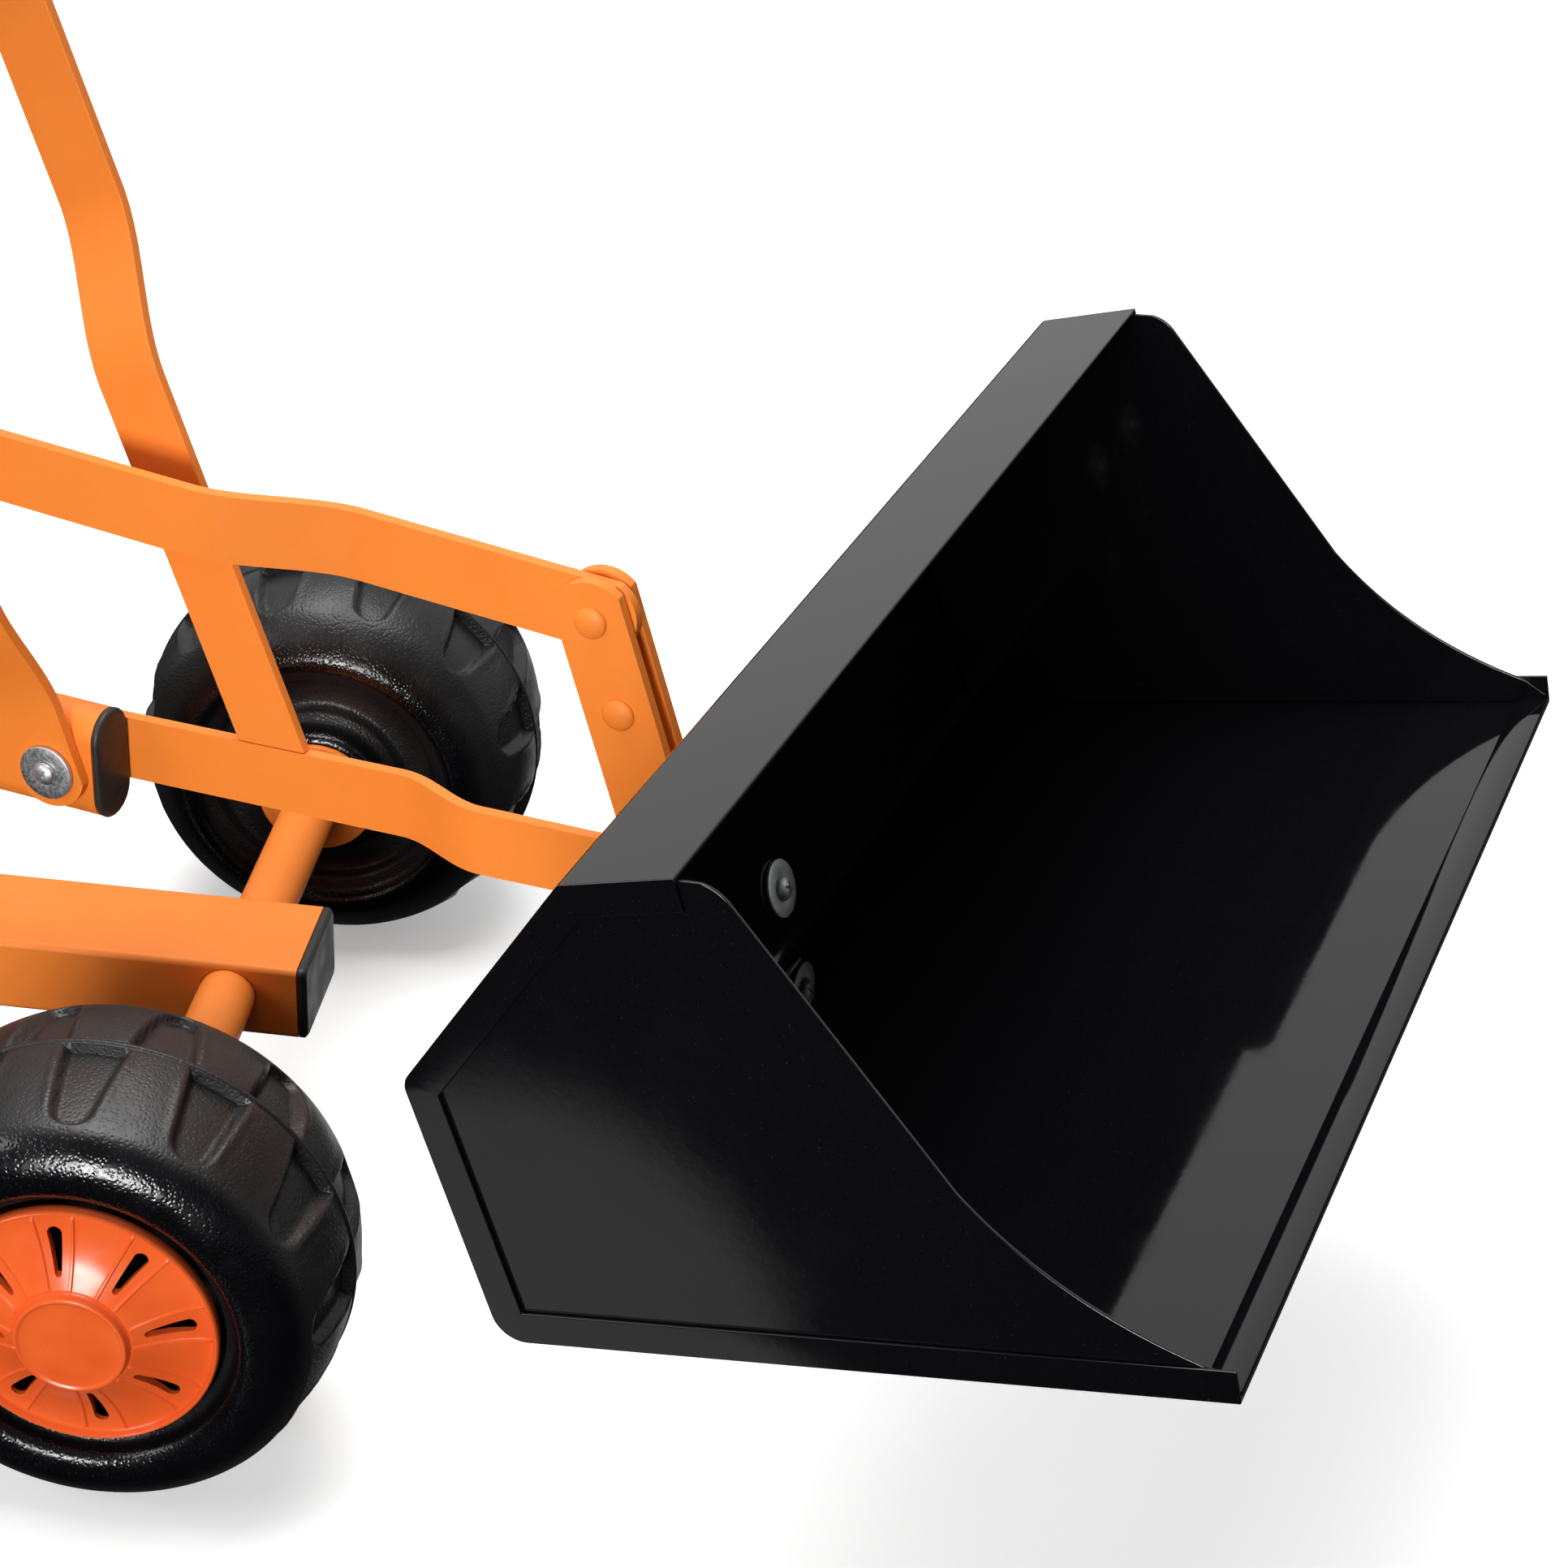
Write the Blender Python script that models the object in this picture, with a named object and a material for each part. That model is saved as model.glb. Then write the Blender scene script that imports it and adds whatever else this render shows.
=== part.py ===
"""Ride-on toy digger: a four-wheeled chassis with a slewing seat, two hand levers and a front shovel.

The model is in metres with +Z up and stands on the ground at Z = 0, with its front towards -Y.
Sizes below are in millimetres.  The chassis is square to the frame.  The upper frame is built
along its own local -Y and turned about the slew axis by SLEW_DEG, the angle it rests at.
In the side views of the upper frame, f is the distance ahead of the slew axis and z the height.
"""
import math

import bmesh
import bpy
from mathutils import Matrix, Vector

MM = 0.001
GAP = 0.3           # between pieces that touch
RUN = 0.08          # radial clearance of a running fit

# Overall layout
SLEW_DEG = -14.9    # rest angle of the upper frame
SLEW_X = 79.6       # slew axis, placed so that the whole object is centred on the origin
SLEW_Y = 233.9
AXLE_Y = 228.0      # front and rear axle, each side of the slew axis
WHEEL_X = 210.0     # wheel's middle plane
WHEEL_R = 100.0
AXLE_Z = WHEEL_R

# Chassis
BEAM_WIDTH = 57.0
BEAM_BOTTOM = 79.0
BEAM_TOP = 116.0
BEAM_HALF_LENGTH = 260.0
BEAM_WALL = 2.4
CAP_THICK = 4.5
AXLE_TUBE_R = 13.0
FLANGE_R = 29.0
FLANGE_X = 149.0
ROD_R = 6.0
POST_R = 30.0
POST_FLANGE_R = 42.0
POST_TOP = 192.6

# Upper frame
TUBE_WIDTH = 25.0
TUBE_HEIGHT = 51.0
TUBE_Z = 229.6      # centre height of the oval tube
TUBE_FRONT = 192.5
TUBE_REAR = -250.0
TUBE_WALL = 2.0
BOLT_R = 3.0
SLEW_BOLT_R = 6.0
RISER_FRONT = -45.0
RISER_REAR = -175.0
RISER_WIDTH = 36.0
RISER_THICK = 4.0
SEAT_Z = 300.3      # underside of the seat's flat middle
SEAT_F = -115.0
SEAT_HALF_LENGTH = 145.0
SEAT_HALF_WIDTH = 160.0
SEAT_WALL = 6.0

# Flat bars of the linkage
BAR_WIDTH = 30.0
BAR_THICK = 5.0
END_R = 17.0        # round of a bar's eye about its pivot, wider than the bar itself
EYE_STEPS = (90, 66, 44)        # corners of the round, in degrees
EYE_TIP = 0.4                   # half-width left at its very end
PIVOT_A = (174.0, TUBE_Z)       # arm and tilt lever on the oval tube
PIVOT_B = (459.1, 240.9)        # bucket on the arm
PIVOT_C = (420.9, 355.4)        # tilt rod on the ears
PIVOT_D = (128.0, 373.5)        # tilt rod on the tilt lever
SIDE_Q = TUBE_WIDTH / 2 + GAP + BAR_THICK / 2   # bars that lie against the oval tube
ROD_Q = -18.5
RIGHT_LEVER_Q = -30.5
LEFT_LEVER_Q = 34.5
LEFT_LEVER_F = 265.5            # middle of the left lever's foot on the arm's top edge
LEFT_LEVER_DEG = 110.9          # its lean, from forward horizontal
LEFT_LEVER_SKEW = -0.337        # slope of its foot, cut to lie along the arm
LEVER_TOP = 655.0
GRIP_LENGTH = 112.0
EAR_Q = 6.0
RIVET_R = 3.0
RIVET_STEP = 40.0
SLOT_REACH = (-6.8, 1.9)        # travel of the rivet in the tilt rod's slotted eye, along the rod
SLOT_PLAY = 1.2                 # and across it

# Bucket: side outline of the bent sheet, from the top flange round the back to the lip
SHEET = 1.5
BUCKET_HALF_WIDTH = 250.5
LIP = (756.8, 271.7)
HEEL = (498.3, 206.8)
BACK = (461.0, 306.1)
TOP_REAR = (517.3, 400.6)
TOP_FRONT = (557.1, 414.1)
BEND_R = {HEEL: 12.0, BACK: 8.0, TOP_REAR: 4.0}
SIDE_FLANGE = 12.5
BRACKET_BOLT_Q = 28.0
BRACKET_BOLT_UP = 25.5

for old in list(bpy.data.objects):
    bpy.data.objects.remove(old, do_unlink=True)


# ---------------------------------------------------------------- materials

def material(name, colour, roughness, metallic=0.0):
    made = bpy.data.materials.new(name)
    made.use_nodes = True
    shader = made.node_tree.nodes["Principled BSDF"]
    shader.inputs["Base Color"].default_value = (*colour, 1.0)
    shader.inputs["Roughness"].default_value = roughness
    shader.inputs["Metallic"].default_value = metallic
    made.diffuse_color = (*colour, 1.0)
    return made


ORANGE = material("orange_powder_coat", (0.88, 0.24, 0.05), 0.45)
BLACK_STEEL = material("black_gloss_paint", (0.012, 0.012, 0.014), 0.16)
BLACK_PLASTIC = material("black_plastic", (0.018, 0.018, 0.019), 0.45)
RUBBER = material("black_grip", (0.015, 0.015, 0.015), 0.75)
HUB_ORANGE = material("hub_cap_plastic", (0.83, 0.11, 0.025), 0.2)
ZINC = material("zinc_plate", (0.62, 0.63, 0.65), 0.32, 1.0)


# ---------------------------------------------------------------- frames and objects

def empty(name, location, parent=None, turn_deg=0.0):
    made = bpy.data.objects.new(name, None)
    bpy.context.scene.collection.objects.link(made)
    made.empty_display_size = 0.05
    made.location = Vector(location) * MM
    made.rotation_euler = (0.0, 0.0, math.radians(turn_deg))
    made.parent = parent
    return made


CHASSIS = empty("chassis_frame", (SLEW_X, SLEW_Y, 0))
UPPER = empty("upper_frame", (0, 0, 0), CHASSIS, SLEW_DEG)


def side_pivot(name, point):
    """An empty on a cross axis of the upper frame, at (f, z)."""
    return empty(name, (0, -point[0], point[1]), UPPER)


BOOM = side_pivot("boom_frame", PIVOT_A)
TILT = side_pivot("tilt_lever_frame", PIVOT_A)
TILT_ROD = side_pivot("tilt_rod_frame", PIVOT_D)
BUCKET = side_pivot("bucket_frame", PIVOT_B)


def place(name, mesh_mm, paint, parent, smooth_deg=None):
    """Turn a bmesh in the coordinates of the chassis or of the upper frame into an object of parent."""
    bmesh.ops.remove_doubles(mesh_mm, verts=mesh_mm.verts, dist=0.001)
    bmesh.ops.recalc_face_normals(mesh_mm, faces=mesh_mm.faces)
    pivot = Vector((0, 0, 0)) if parent in (CHASSIS, UPPER) else parent.location
    mesh_mm.transform(Matrix.Translation(-pivot) @ Matrix.Scale(MM, 4))
    data = bpy.data.meshes.new(name)
    mesh_mm.to_mesh(data)
    mesh_mm.free()
    data.materials.append(paint)
    if smooth_deg:
        data.shade_smooth()
        data.set_sharp_from_angle(angle=math.radians(smooth_deg))
    made = bpy.data.objects.new(name, data)
    made.parent = parent
    bpy.context.scene.collection.objects.link(made)
    return made


def cut(target, name, mesh_mm):
    """Subtract a hidden cutter, given in the same coordinates as the target's own mesh."""
    tool = place(name, mesh_mm, ZINC, target.parent)
    tool.hide_render = True
    tool.display_type = "WIRE"
    step = target.modifiers.new(name, "BOOLEAN")
    step.operation = "DIFFERENCE"
    step.object = tool


# ---------------------------------------------------------------- solids

def loft(rings, closed=False):
    """Skin a list of equal rings of points; the two ends are filled unless the loft is closed."""
    made = bmesh.new()
    rows = [[made.verts.new(point) for point in ring] for ring in rings]
    count = len(rows[0])
    pairs = list(zip(rows, rows[1:] + rows[:1])) if closed else list(zip(rows, rows[1:]))
    for row, following in pairs:
        for i in range(count):
            j = (i + 1) % count
            made.faces.new((row[i], row[j], following[j], following[i]))
    if not closed:
        made.faces.new(rows[0])
        made.faces.new(list(reversed(rows[-1])))
    return made


def lathe(profile, centre, axis="X", segments=32):
    """Turn a closed outline of (radius, distance along the axis) points about an axis."""
    made = bmesh.new()

    def point(radius, along, turn):
        a, b = radius * math.cos(turn), radius * math.sin(turn)
        local = {"X": (along, a, b), "Y": (b, along, a), "Z": (a, b, along)}[axis]
        return Vector(local) + Vector(centre)

    rings = []
    for radius, along in profile:
        if radius == 0:
            rings.append([made.verts.new(point(0, along, 0))] * segments)
        else:
            rings.append([made.verts.new(point(radius, along, math.tau * k / segments))
                          for k in range(segments)])
    for ring, following in zip(rings, rings[1:] + rings[:1]):
        for k in range(segments):
            n = (k + 1) % segments
            corners = []
            for vert in (ring[k], ring[n], following[n], following[k]):
                if vert not in corners:
                    corners.append(vert)
            if len(corners) > 2:
                made.faces.new(corners)
    return made


def rod(radius, low, high, centre, axis="X", segments=18):
    return lathe([(0, low), (radius, low), (radius, high), (0, high)], centre, axis, segments)


def box(low, high):
    (x0, y0, z0), (x1, y1, z1) = low, high
    rings = [[(x0, y0, z), (x1, y0, z), (x1, y1, z), (x0, y1, z)] for z in (z0, z1)]
    return loft(rings)


def side_plate(outline, q_low, q_high):
    """A plate of the upper frame cut to an (f, z) outline, between two lateral positions."""
    return loft([[(q, -f, z) for f, z in outline] for q in (q_low, q_high)])


def arc(centre, radius, start_deg, end_deg, steps):
    return [(centre[0] + radius * math.cos(math.radians(start_deg + (end_deg - start_deg) * k / steps)),
             centre[1] + radius * math.sin(math.radians(start_deg + (end_deg - start_deg) * k / steps)))
            for k in range(steps + 1)]


def smooth_step(value, low, high):
    t = min(1.0, max(0.0, (value - low) / (high - low)))
    return t * t * (3 - 2 * t)


def joggle(first_q, last_q, start, end):
    """Lateral position along a bar that is set over from one plane to another."""
    def offset(along):
        return first_q + (last_q - first_q) * smooth_step(along, start, end)
    offset.span = (start, end)
    return offset


def flat_bar(start, end, offset, start_r=END_R, end_r=END_R, start_skew=None, plain_end=False):
    """A 30 x 5 bar between two (f, z) points, with a round eye past each pivot.

    start_skew cuts the start off plain at a slope instead; plain_end squares the far end.
    """
    first, last = Vector(start), Vector(end)
    length = (last - first).length
    ahead = (last - first) / length
    across = Vector((ahead.y, -ahead.x))
    half = BAR_WIDTH / 2
    stations = []
    if start_skew is None:
        for degree in EYE_STEPS:
            turn = math.radians(degree)
            wide = min(half, start_r * math.cos(turn))
            stations.append((-start_r * math.sin(turn), wide))
        stations.append((-math.sqrt(max(0.0, start_r ** 2 - half ** 2)), min(half, start_r)))
    else:
        stations.append((0.0, half))
    low, high = offset.span
    ends, steps = 6.0, 8
    stations.append((low - ends, half))
    stations += [(low + (high - low) * k / steps, half) for k in range(steps + 1)]
    stations.append((high + ends, half))
    if plain_end:
        stations.append((length, half))
    else:
        stations.append((length + math.sqrt(max(0.0, end_r ** 2 - half ** 2)), min(half, end_r)))
        for degree in reversed(EYE_STEPS):
            turn = math.radians(degree)
            wide = min(half, end_r * math.cos(turn))
            stations.append((length + end_r * math.sin(turn), wide))
    rings = []
    for along, wide in stations:
        wide = max(wide, EYE_TIP)
        slope = (offset(along + 0.5) - offset(along - 0.5))
        thick = BAR_THICK / 2 * math.sqrt(1 + slope ** 2)
        q = offset(along)
        ring = []
        for side, level in ((-1, -1), (1, -1), (1, 1), (-1, 1)):
            skew = start_skew * side * half if start_skew is not None and along == 0.0 else 0.0
            point = first + ahead * (along + skew) + across * side * wide
            ring.append((q + level * thick, -point.x, point.y))
        rings.append(ring)
    return loft(rings)


def point_on(start, end, distance):
    first, last = Vector(start), Vector(end)
    found = first + (last - first).normalized() * distance
    return (found.x, found.y)


def cross_rod(radius, q_low, q_high, point, segments=18):
    """A cylinder across the upper frame, through an (f, z) point."""
    return rod(radius, q_low, q_high, (0, -point[0], point[1]), "X", segments)


def rounded_section(half_x, half_z, radius, steps=3):
    """Corner-rounded rectangle, as (x, z) points."""
    points = []
    for corner, (sx, sz) in enumerate(((1, 1), (-1, 1), (-1, -1), (1, -1))):
        centre = (sx * (half_x - radius), sz * (half_z - radius))
        points += arc(centre, radius, 90 * corner, 90 * corner + 90, steps)
    return points


def tube_along_y(section, inner, y_low, y_high):
    """A hollow tube along Y from matching outer and inner (x, z) sections."""
    rings = [[(x, y_low, z) for x, z in section], [(x, y_high, z) for x, z in section],
             [(x, y_high, z) for x, z in inner], [(x, y_low, z) for x, z in inner]]
    return loft(rings, closed=True)


# ---------------------------------------------------------------- chassis

def build_beam():
    middle = (BEAM_TOP + BEAM_BOTTOM) / 2
    half_z = (BEAM_TOP - BEAM_BOTTOM) / 2
    outer = [(x, z + middle) for x, z in rounded_section(BEAM_WIDTH / 2, half_z, 3.0)]
    inner = [(x, z + middle) for x, z in
             rounded_section(BEAM_WIDTH / 2 - BEAM_WALL, half_z - BEAM_WALL, 0.8)]
    beam = place("main_beam", tube_along_y(outer, inner, -BEAM_HALF_LENGTH, BEAM_HALF_LENGTH),
                 ORANGE, CHASSIS, 30)
    for end in (-1, 1):
        hole = rod(AXLE_TUBE_R + GAP, -40, 40, (0, end * AXLE_Y, AXLE_Z), "X", 32)
        cut(beam, "axle_hole_%s" % ("front" if end < 0 else "rear"), hole)
    for end, label in ((-1, "front"), (1, "rear")):
        rings = []
        for inset, out in ((0.0, GAP), (0.0, CAP_THICK - 1.5), (1.5, CAP_THICK)):
            section = rounded_section(BEAM_WIDTH / 2 - inset, half_z - inset, 3.0)
            y = end * (BEAM_HALF_LENGTH + out)
            rings.append([(x, y, z + middle) for x, z in section])
        place("beam_cap_%s" % label, loft(rings), BLACK_PLASTIC, CHASSIS, 30)


def build_axles():
    """Each axle is a welded tube with an end disc, and a solid rod that the wheels turn on."""
    bore = ROD_R + GAP
    inside = FLANGE_X - 3.0
    half = [(bore, FLANGE_X), (FLANGE_R, FLANGE_X), (FLANGE_R, inside), (AXLE_TUBE_R, inside)]
    wall = [(AXLE_TUBE_R - 2.0, inside), (bore, inside)]
    profile = half + [(r, -x) for r, x in reversed(half)]
    profile += [(r, -x) for r, x in reversed(wall)] + wall
    rod_end = WHEEL_X + 50.0
    for side, label in ((-1, "front"), (1, "rear")):
        centre = (0, side * AXLE_Y, AXLE_Z)
        place("axle_tube_%s" % label, lathe(profile, centre, "X", 24), ORANGE, CHASSIS, 30)
        shaft = lathe([(0, -rod_end), (ROD_R - 1, -rod_end), (ROD_R, 1 - rod_end),
                       (ROD_R, rod_end - 1), (ROD_R - 1, rod_end), (0, rod_end)], centre, "X", 24)
        place("axle_rod_%s" % label, shaft, ZINC, CHASSIS, 30)


def build_post():
    base = BEAM_TOP + GAP
    plate = box((-27, -60, base), (27, 60, base + 5))
    place("post_base_plate", plate, ORANGE, CHASSIS)
    low = base + 5 + GAP
    bore = SLEW_BOLT_R + RUN
    profile = [(POST_R, low), (POST_R, POST_TOP - 5), (POST_FLANGE_R, POST_TOP - 5),
               (POST_FLANGE_R, POST_TOP), (bore, POST_TOP), (bore, POST_TOP - 5),
               (POST_R - 3, POST_TOP - 5), (POST_R - 3, low)]
    place("slew_post", lathe(profile, (0, 0, 0), "Z", 24), ORANGE, CHASSIS, 30)
    low = POST_TOP + GAP
    ring = [(38, low), (38, low + 3), (SLEW_BOLT_R + GAP, low + 3), (SLEW_BOLT_R + GAP, low)]
    place("bearing_ring", lathe(ring, (0, 0, 0), "Z", 24), BLACK_PLASTIC, CHASSIS, 30)


# ---------------------------------------------------------------- wheels

def wheel_profile():
    """Wheel wall as (radius, distance outboard of the middle plane); open behind the hub cap."""
    bore = ROD_R + RUN
    outside = [(60, 50), (67, 57), (73, 59.5), (87, 51), (96, 33), (WHEEL_R, 0)]
    tread = [(r, -h) for r, h in reversed(outside[2:-1])]
    inboard = [(61, -56), (54, -42), (38, -38), (32, -59), (bore, -59)]
    hub = [(bore, 40), (10, 40), (10, -55), (28, -55)]
    inner = [(35, -34), (57, -38), (71, -54), (84, -47), (95, 0), (84, 47), (72, 54), (60, 46)]
    return outside + tread + inboard + hub + inner


def cap_profile():
    """Hub cap: rim, sloping face and raised centre disc."""
    face = [(58, 50.5), (58, 57), (24, 64), (22.8, 67.5), (0, 67.5)]
    back = [(0, 65.5), (21, 65.5), (21, 62.6), (56, 55), (56, 50.5)]
    return face + back


def build_wheels():
    for along, end in ((-1, "front"), (1, "rear")):
        for side, hand in ((1, "left"), (-1, "right")):
            label = "%s_%s" % (end, hand)
            centre = (side * WHEEL_X, along * AXLE_Y, AXLE_Z)
            frame = empty("wheel_frame_" + label, centre, CHASSIS)
            for name, profile, paint in (("wheel_", wheel_profile(), BLACK_PLASTIC),
                                         ("hub_cap_", cap_profile(), HUB_ORANGE)):
                outline = [(r, side * h) for r, h in profile]
                place(name + label, lathe(outline, centre, "X", 28), paint, frame, 30)
            nut = [(9, 41), (11, 43), (11, 50.3), (9, 53), (0, 53), (0, 50.3), (ROD_R + GAP, 50.3),
                   (ROD_R + GAP, 41)]
            outline = [(r, side * h) for r, h in nut]
            place("axle_nut_" + label, lathe(outline, centre, "X", 16), ZINC, CHASSIS, 30)


# ---------------------------------------------------------------- upper frame

def build_tube():
    section = rounded_section(TUBE_WIDTH / 2, TUBE_HEIGHT / 2, TUBE_WIDTH / 2 - 0.01, 5)
    inner = rounded_section(TUBE_WIDTH / 2 - TUBE_WALL, TUBE_HEIGHT / 2 - TUBE_WALL,
                            TUBE_WIDTH / 2 - TUBE_WALL - 0.01, 5)
    outer = [(x, z + TUBE_Z) for x, z in section]
    inner = [(x, z + TUBE_Z) for x, z in inner]
    tube = place("oval_tube", tube_along_y(outer, inner, -TUBE_FRONT, -TUBE_REAR), ORANGE, UPPER, 30)
    cut(tube, "pivot_hole", cross_rod(BOLT_R + GAP, -30, 30, PIVOT_A))
    cut(tube, "slew_hole", rod(SLEW_BOLT_R + GAP, 150, 300, (0, 0, 0), "Z"))
    for front, label, face in ((-1, "front", TUBE_FRONT), (1, "rear", -TUBE_REAR)):
        rings = []
        for inset, out in ((0.0, GAP), (0.0, 2.6), (1.2, 3.6)):
            y = front * (face + out)
            part = rounded_section(TUBE_WIDTH / 2 - inset, TUBE_HEIGHT / 2 - inset,
                                   TUBE_WIDTH / 2 - inset - 0.01, 5)
            rings.append([(x, y, z + TUBE_Z) for x, z in part])
        place("tube_cap_%s" % label, loft(rings), BLACK_PLASTIC, UPPER, 30)


def build_slew_bearing():
    bottom = TUBE_Z - TUBE_HEIGHT / 2 - GAP
    low = POST_TOP + 3 + 2 * GAP
    plate = [(POST_FLANGE_R, low), (POST_FLANGE_R, bottom), (SLEW_BOLT_R + GAP, bottom),
             (SLEW_BOLT_R + GAP, low)]
    place("turntable_plate", lathe(plate, (0, 0, 0), "Z", 24), ORANGE, UPPER, 30)
    head = TUBE_Z + TUBE_HEIGHT / 2 + GAP
    bolt = [(0, 172), (SLEW_BOLT_R, 172), (SLEW_BOLT_R, head), (14, head), (14, head + 2),
            (10, head + 2), (10, head + 9), (0, head + 9)]
    place("slew_bolt", lathe(bolt, (0, 0, 0), "Z", 16), ZINC, UPPER, 30)
    nut_top = POST_TOP - 5 - GAP
    nut = [(SLEW_BOLT_R + GAP, nut_top - 10), (10.5, nut_top - 10), (10.5, nut_top - 2),
           (14, nut_top - 2), (14, nut_top), (SLEW_BOLT_R + GAP, nut_top)]
    place("slew_nut", lathe(nut, (0, 0, 0), "Z", 16), ZINC, UPPER, 30)


def build_seat():
    """Two channel risers carry a moulded seat whose rim rises into a low back."""
    foot = TUBE_Z + TUBE_HEIGHT / 2 + GAP
    top = SEAT_Z - GAP
    thick = RISER_THICK
    for f, back, label in ((RISER_FRONT, 1, "front"), (RISER_REAR, -1, "rear")):
        channel = [(0, foot), (34, foot), (34, foot + thick), (thick, foot + thick),
                   (thick, top - thick), (34, top - thick), (34, top), (0, top)]
        outline = [(f - back * x, z) for x, z in channel]
        place("seat_riser_%s" % label, side_plate(outline, -RISER_WIDTH / 2, RISER_WIDTH / 2), ORANGE, UPPER)
    place("seat", seat_shell(), BLACK_PLASTIC, UPPER, 40)


def seat_height(x, y):
    """Height of the seat above its flat middle: x and y run from -1 to 1, y rising to the back."""
    rim = max(0.0, abs(x) - 0.45) / 0.55
    back = max(0.0, y - 0.35) / 0.65
    front = max(0.0, -y - 0.5) / 0.5
    return 34.0 * rim ** 2 + 118.0 * back ** 1.8 * (1 - 0.35 * x * x) - 16.0 * front ** 2


def seat_shell():
    rows, columns = 10, 10
    grids = []
    for layer in (0, 1):
        grid = []
        for i in range(rows + 1):
            y = -1 + 2 * i / rows
            row = []
            for k in range(columns + 1):
                x = -1 + 2 * k / columns
                squeeze = math.sqrt(max(0.0, 1 - 0.28 * y * y))
                lean = math.sqrt(max(0.0, 1 - 0.18 * x * x))
                level = SEAT_Z + layer * SEAT_WALL + seat_height(x, y)
                row.append((x * SEAT_HALF_WIDTH * squeeze,
                            -SEAT_F + y * SEAT_HALF_LENGTH * lean, level))
            grid.append(row)
        grids.append(grid)
    made = bmesh.new()
    low, high = [[[made.verts.new(p) for p in row] for row in grid] for grid in grids]
    for i in range(rows):
        for k in range(columns):
            made.faces.new((low[i][k], low[i + 1][k], low[i + 1][k + 1], low[i][k + 1]))
            made.faces.new((high[i][k], high[i][k + 1], high[i + 1][k + 1], high[i + 1][k]))
    border = [(0, k) for k in range(columns)] + [(i, columns) for i in range(rows)]
    border += [(rows, k) for k in range(columns, 0, -1)] + [(i, 0) for i in range(rows, 0, -1)]
    for (i, k), (m, n) in zip(border, border[1:] + border[:1]):
        made.faces.new((low[i][k], low[m][n], high[m][n], high[i][k]))
    return made


def build_pivot_bolt():
    """The cross bolt that the tilt lever, oval tube and arm share, with washers and a nut."""
    outer = SIDE_Q + BAR_THICK / 2
    near, far = -(outer + GAP), outer + GAP
    centre = (0, -PIVOT_A[0], PIVOT_A[1])
    washer = [(BOLT_R + GAP, near - 2), (12.5, near - 2), (12.5, near), (BOLT_R + GAP, near)]
    place("pivot_washer", lathe(washer, centre, "X", 24), ZINC, UPPER, 30)
    head = near - 2 - GAP
    bolt = [(0, head - 3), (3.4, head - 2.6), (5.2, head), (BOLT_R, head), (BOLT_R, far + 9.5),
            (0, far + 9.5)]
    place("pivot_bolt", lathe(bolt, centre, "X", 16), ZINC, UPPER, 30)
    nut = [(BOLT_R + GAP, far), (9, far), (9, far + 1.5), (5.8, far + 1.5), (5.8, far + 8),
           (BOLT_R + GAP, far + 8)]
    place("pivot_nut", lathe(nut, centre, "X", 16), ZINC, UPPER, 30)


# ---------------------------------------------------------------- arm, levers and tilt rod

def arm_top_at(f):
    slope = (PIVOT_B[1] - PIVOT_A[1]) / (PIVOT_B[0] - PIVOT_A[0])
    return PIVOT_A[1] + slope * (f - PIVOT_A[0]) + BAR_WIDTH / 2 * math.sqrt(1 + slope ** 2)


def build_arm():
    arm = place("lower_arm", flat_bar(PIVOT_A, PIVOT_B, joggle(SIDE_Q, 0.0, 152, 196),
                                      15.5, 14.4), ORANGE, BOOM, 30)
    cut(arm, "arm_pivot_hole", cross_rod(BOLT_R + RUN, 8, 26, PIVOT_A))
    cut(arm, "arm_bucket_hole", cross_rod(BOLT_R + RUN, -8, 8, PIVOT_B))
    foot = (LEFT_LEVER_F, arm_top_at(LEFT_LEVER_F) + GAP)
    lean = math.radians(LEFT_LEVER_DEG)
    length = (LEVER_TOP - foot[1]) / math.sin(lean)
    top = (foot[0] + length * math.cos(lean), LEVER_TOP)
    bar = flat_bar(foot, top, joggle(SIDE_Q, LEFT_LEVER_Q, 166, 240), start_skew=LEFT_LEVER_SKEW,
                   plain_end=True)
    place("left_lever", bar, ORANGE, BOOM, 30)
    place("left_grip", grip(foot, top, LEFT_LEVER_Q), RUBBER, BOOM, 40)


def grip(start, top, q):
    """A soft sleeve with a domed end, pushed over the top of a lever."""
    ahead = (Vector(top) - Vector(start)).normalized()
    across = Vector((ahead.y, -ahead.x))

    def ring(half_wide, half_thick, corner, along):
        points = []
        for x, y in rounded_section(half_wide, half_thick, corner):
            spot = Vector(top) + across * x + ahead * along
            points.append((q + y, -spot.x, spot.y))
        return points

    slot = (BAR_WIDTH / 2 + GAP, BAR_THICK / 2 + GAP, 0.5)
    base = 8.0 - GRIP_LENGTH
    rings = [ring(*slot, GAP), ring(*slot, base), ring(18.5, 7.5, 5.0, base),
             ring(20.5, 9.5, 7.0, base + 4), ring(19.5, 8.5, 7.0, -2.0),
             ring(18.5, 7.5, 6.5, 5.0), ring(15.0, 4.5, 4.0, 8.0)]
    return loft(rings)


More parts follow.
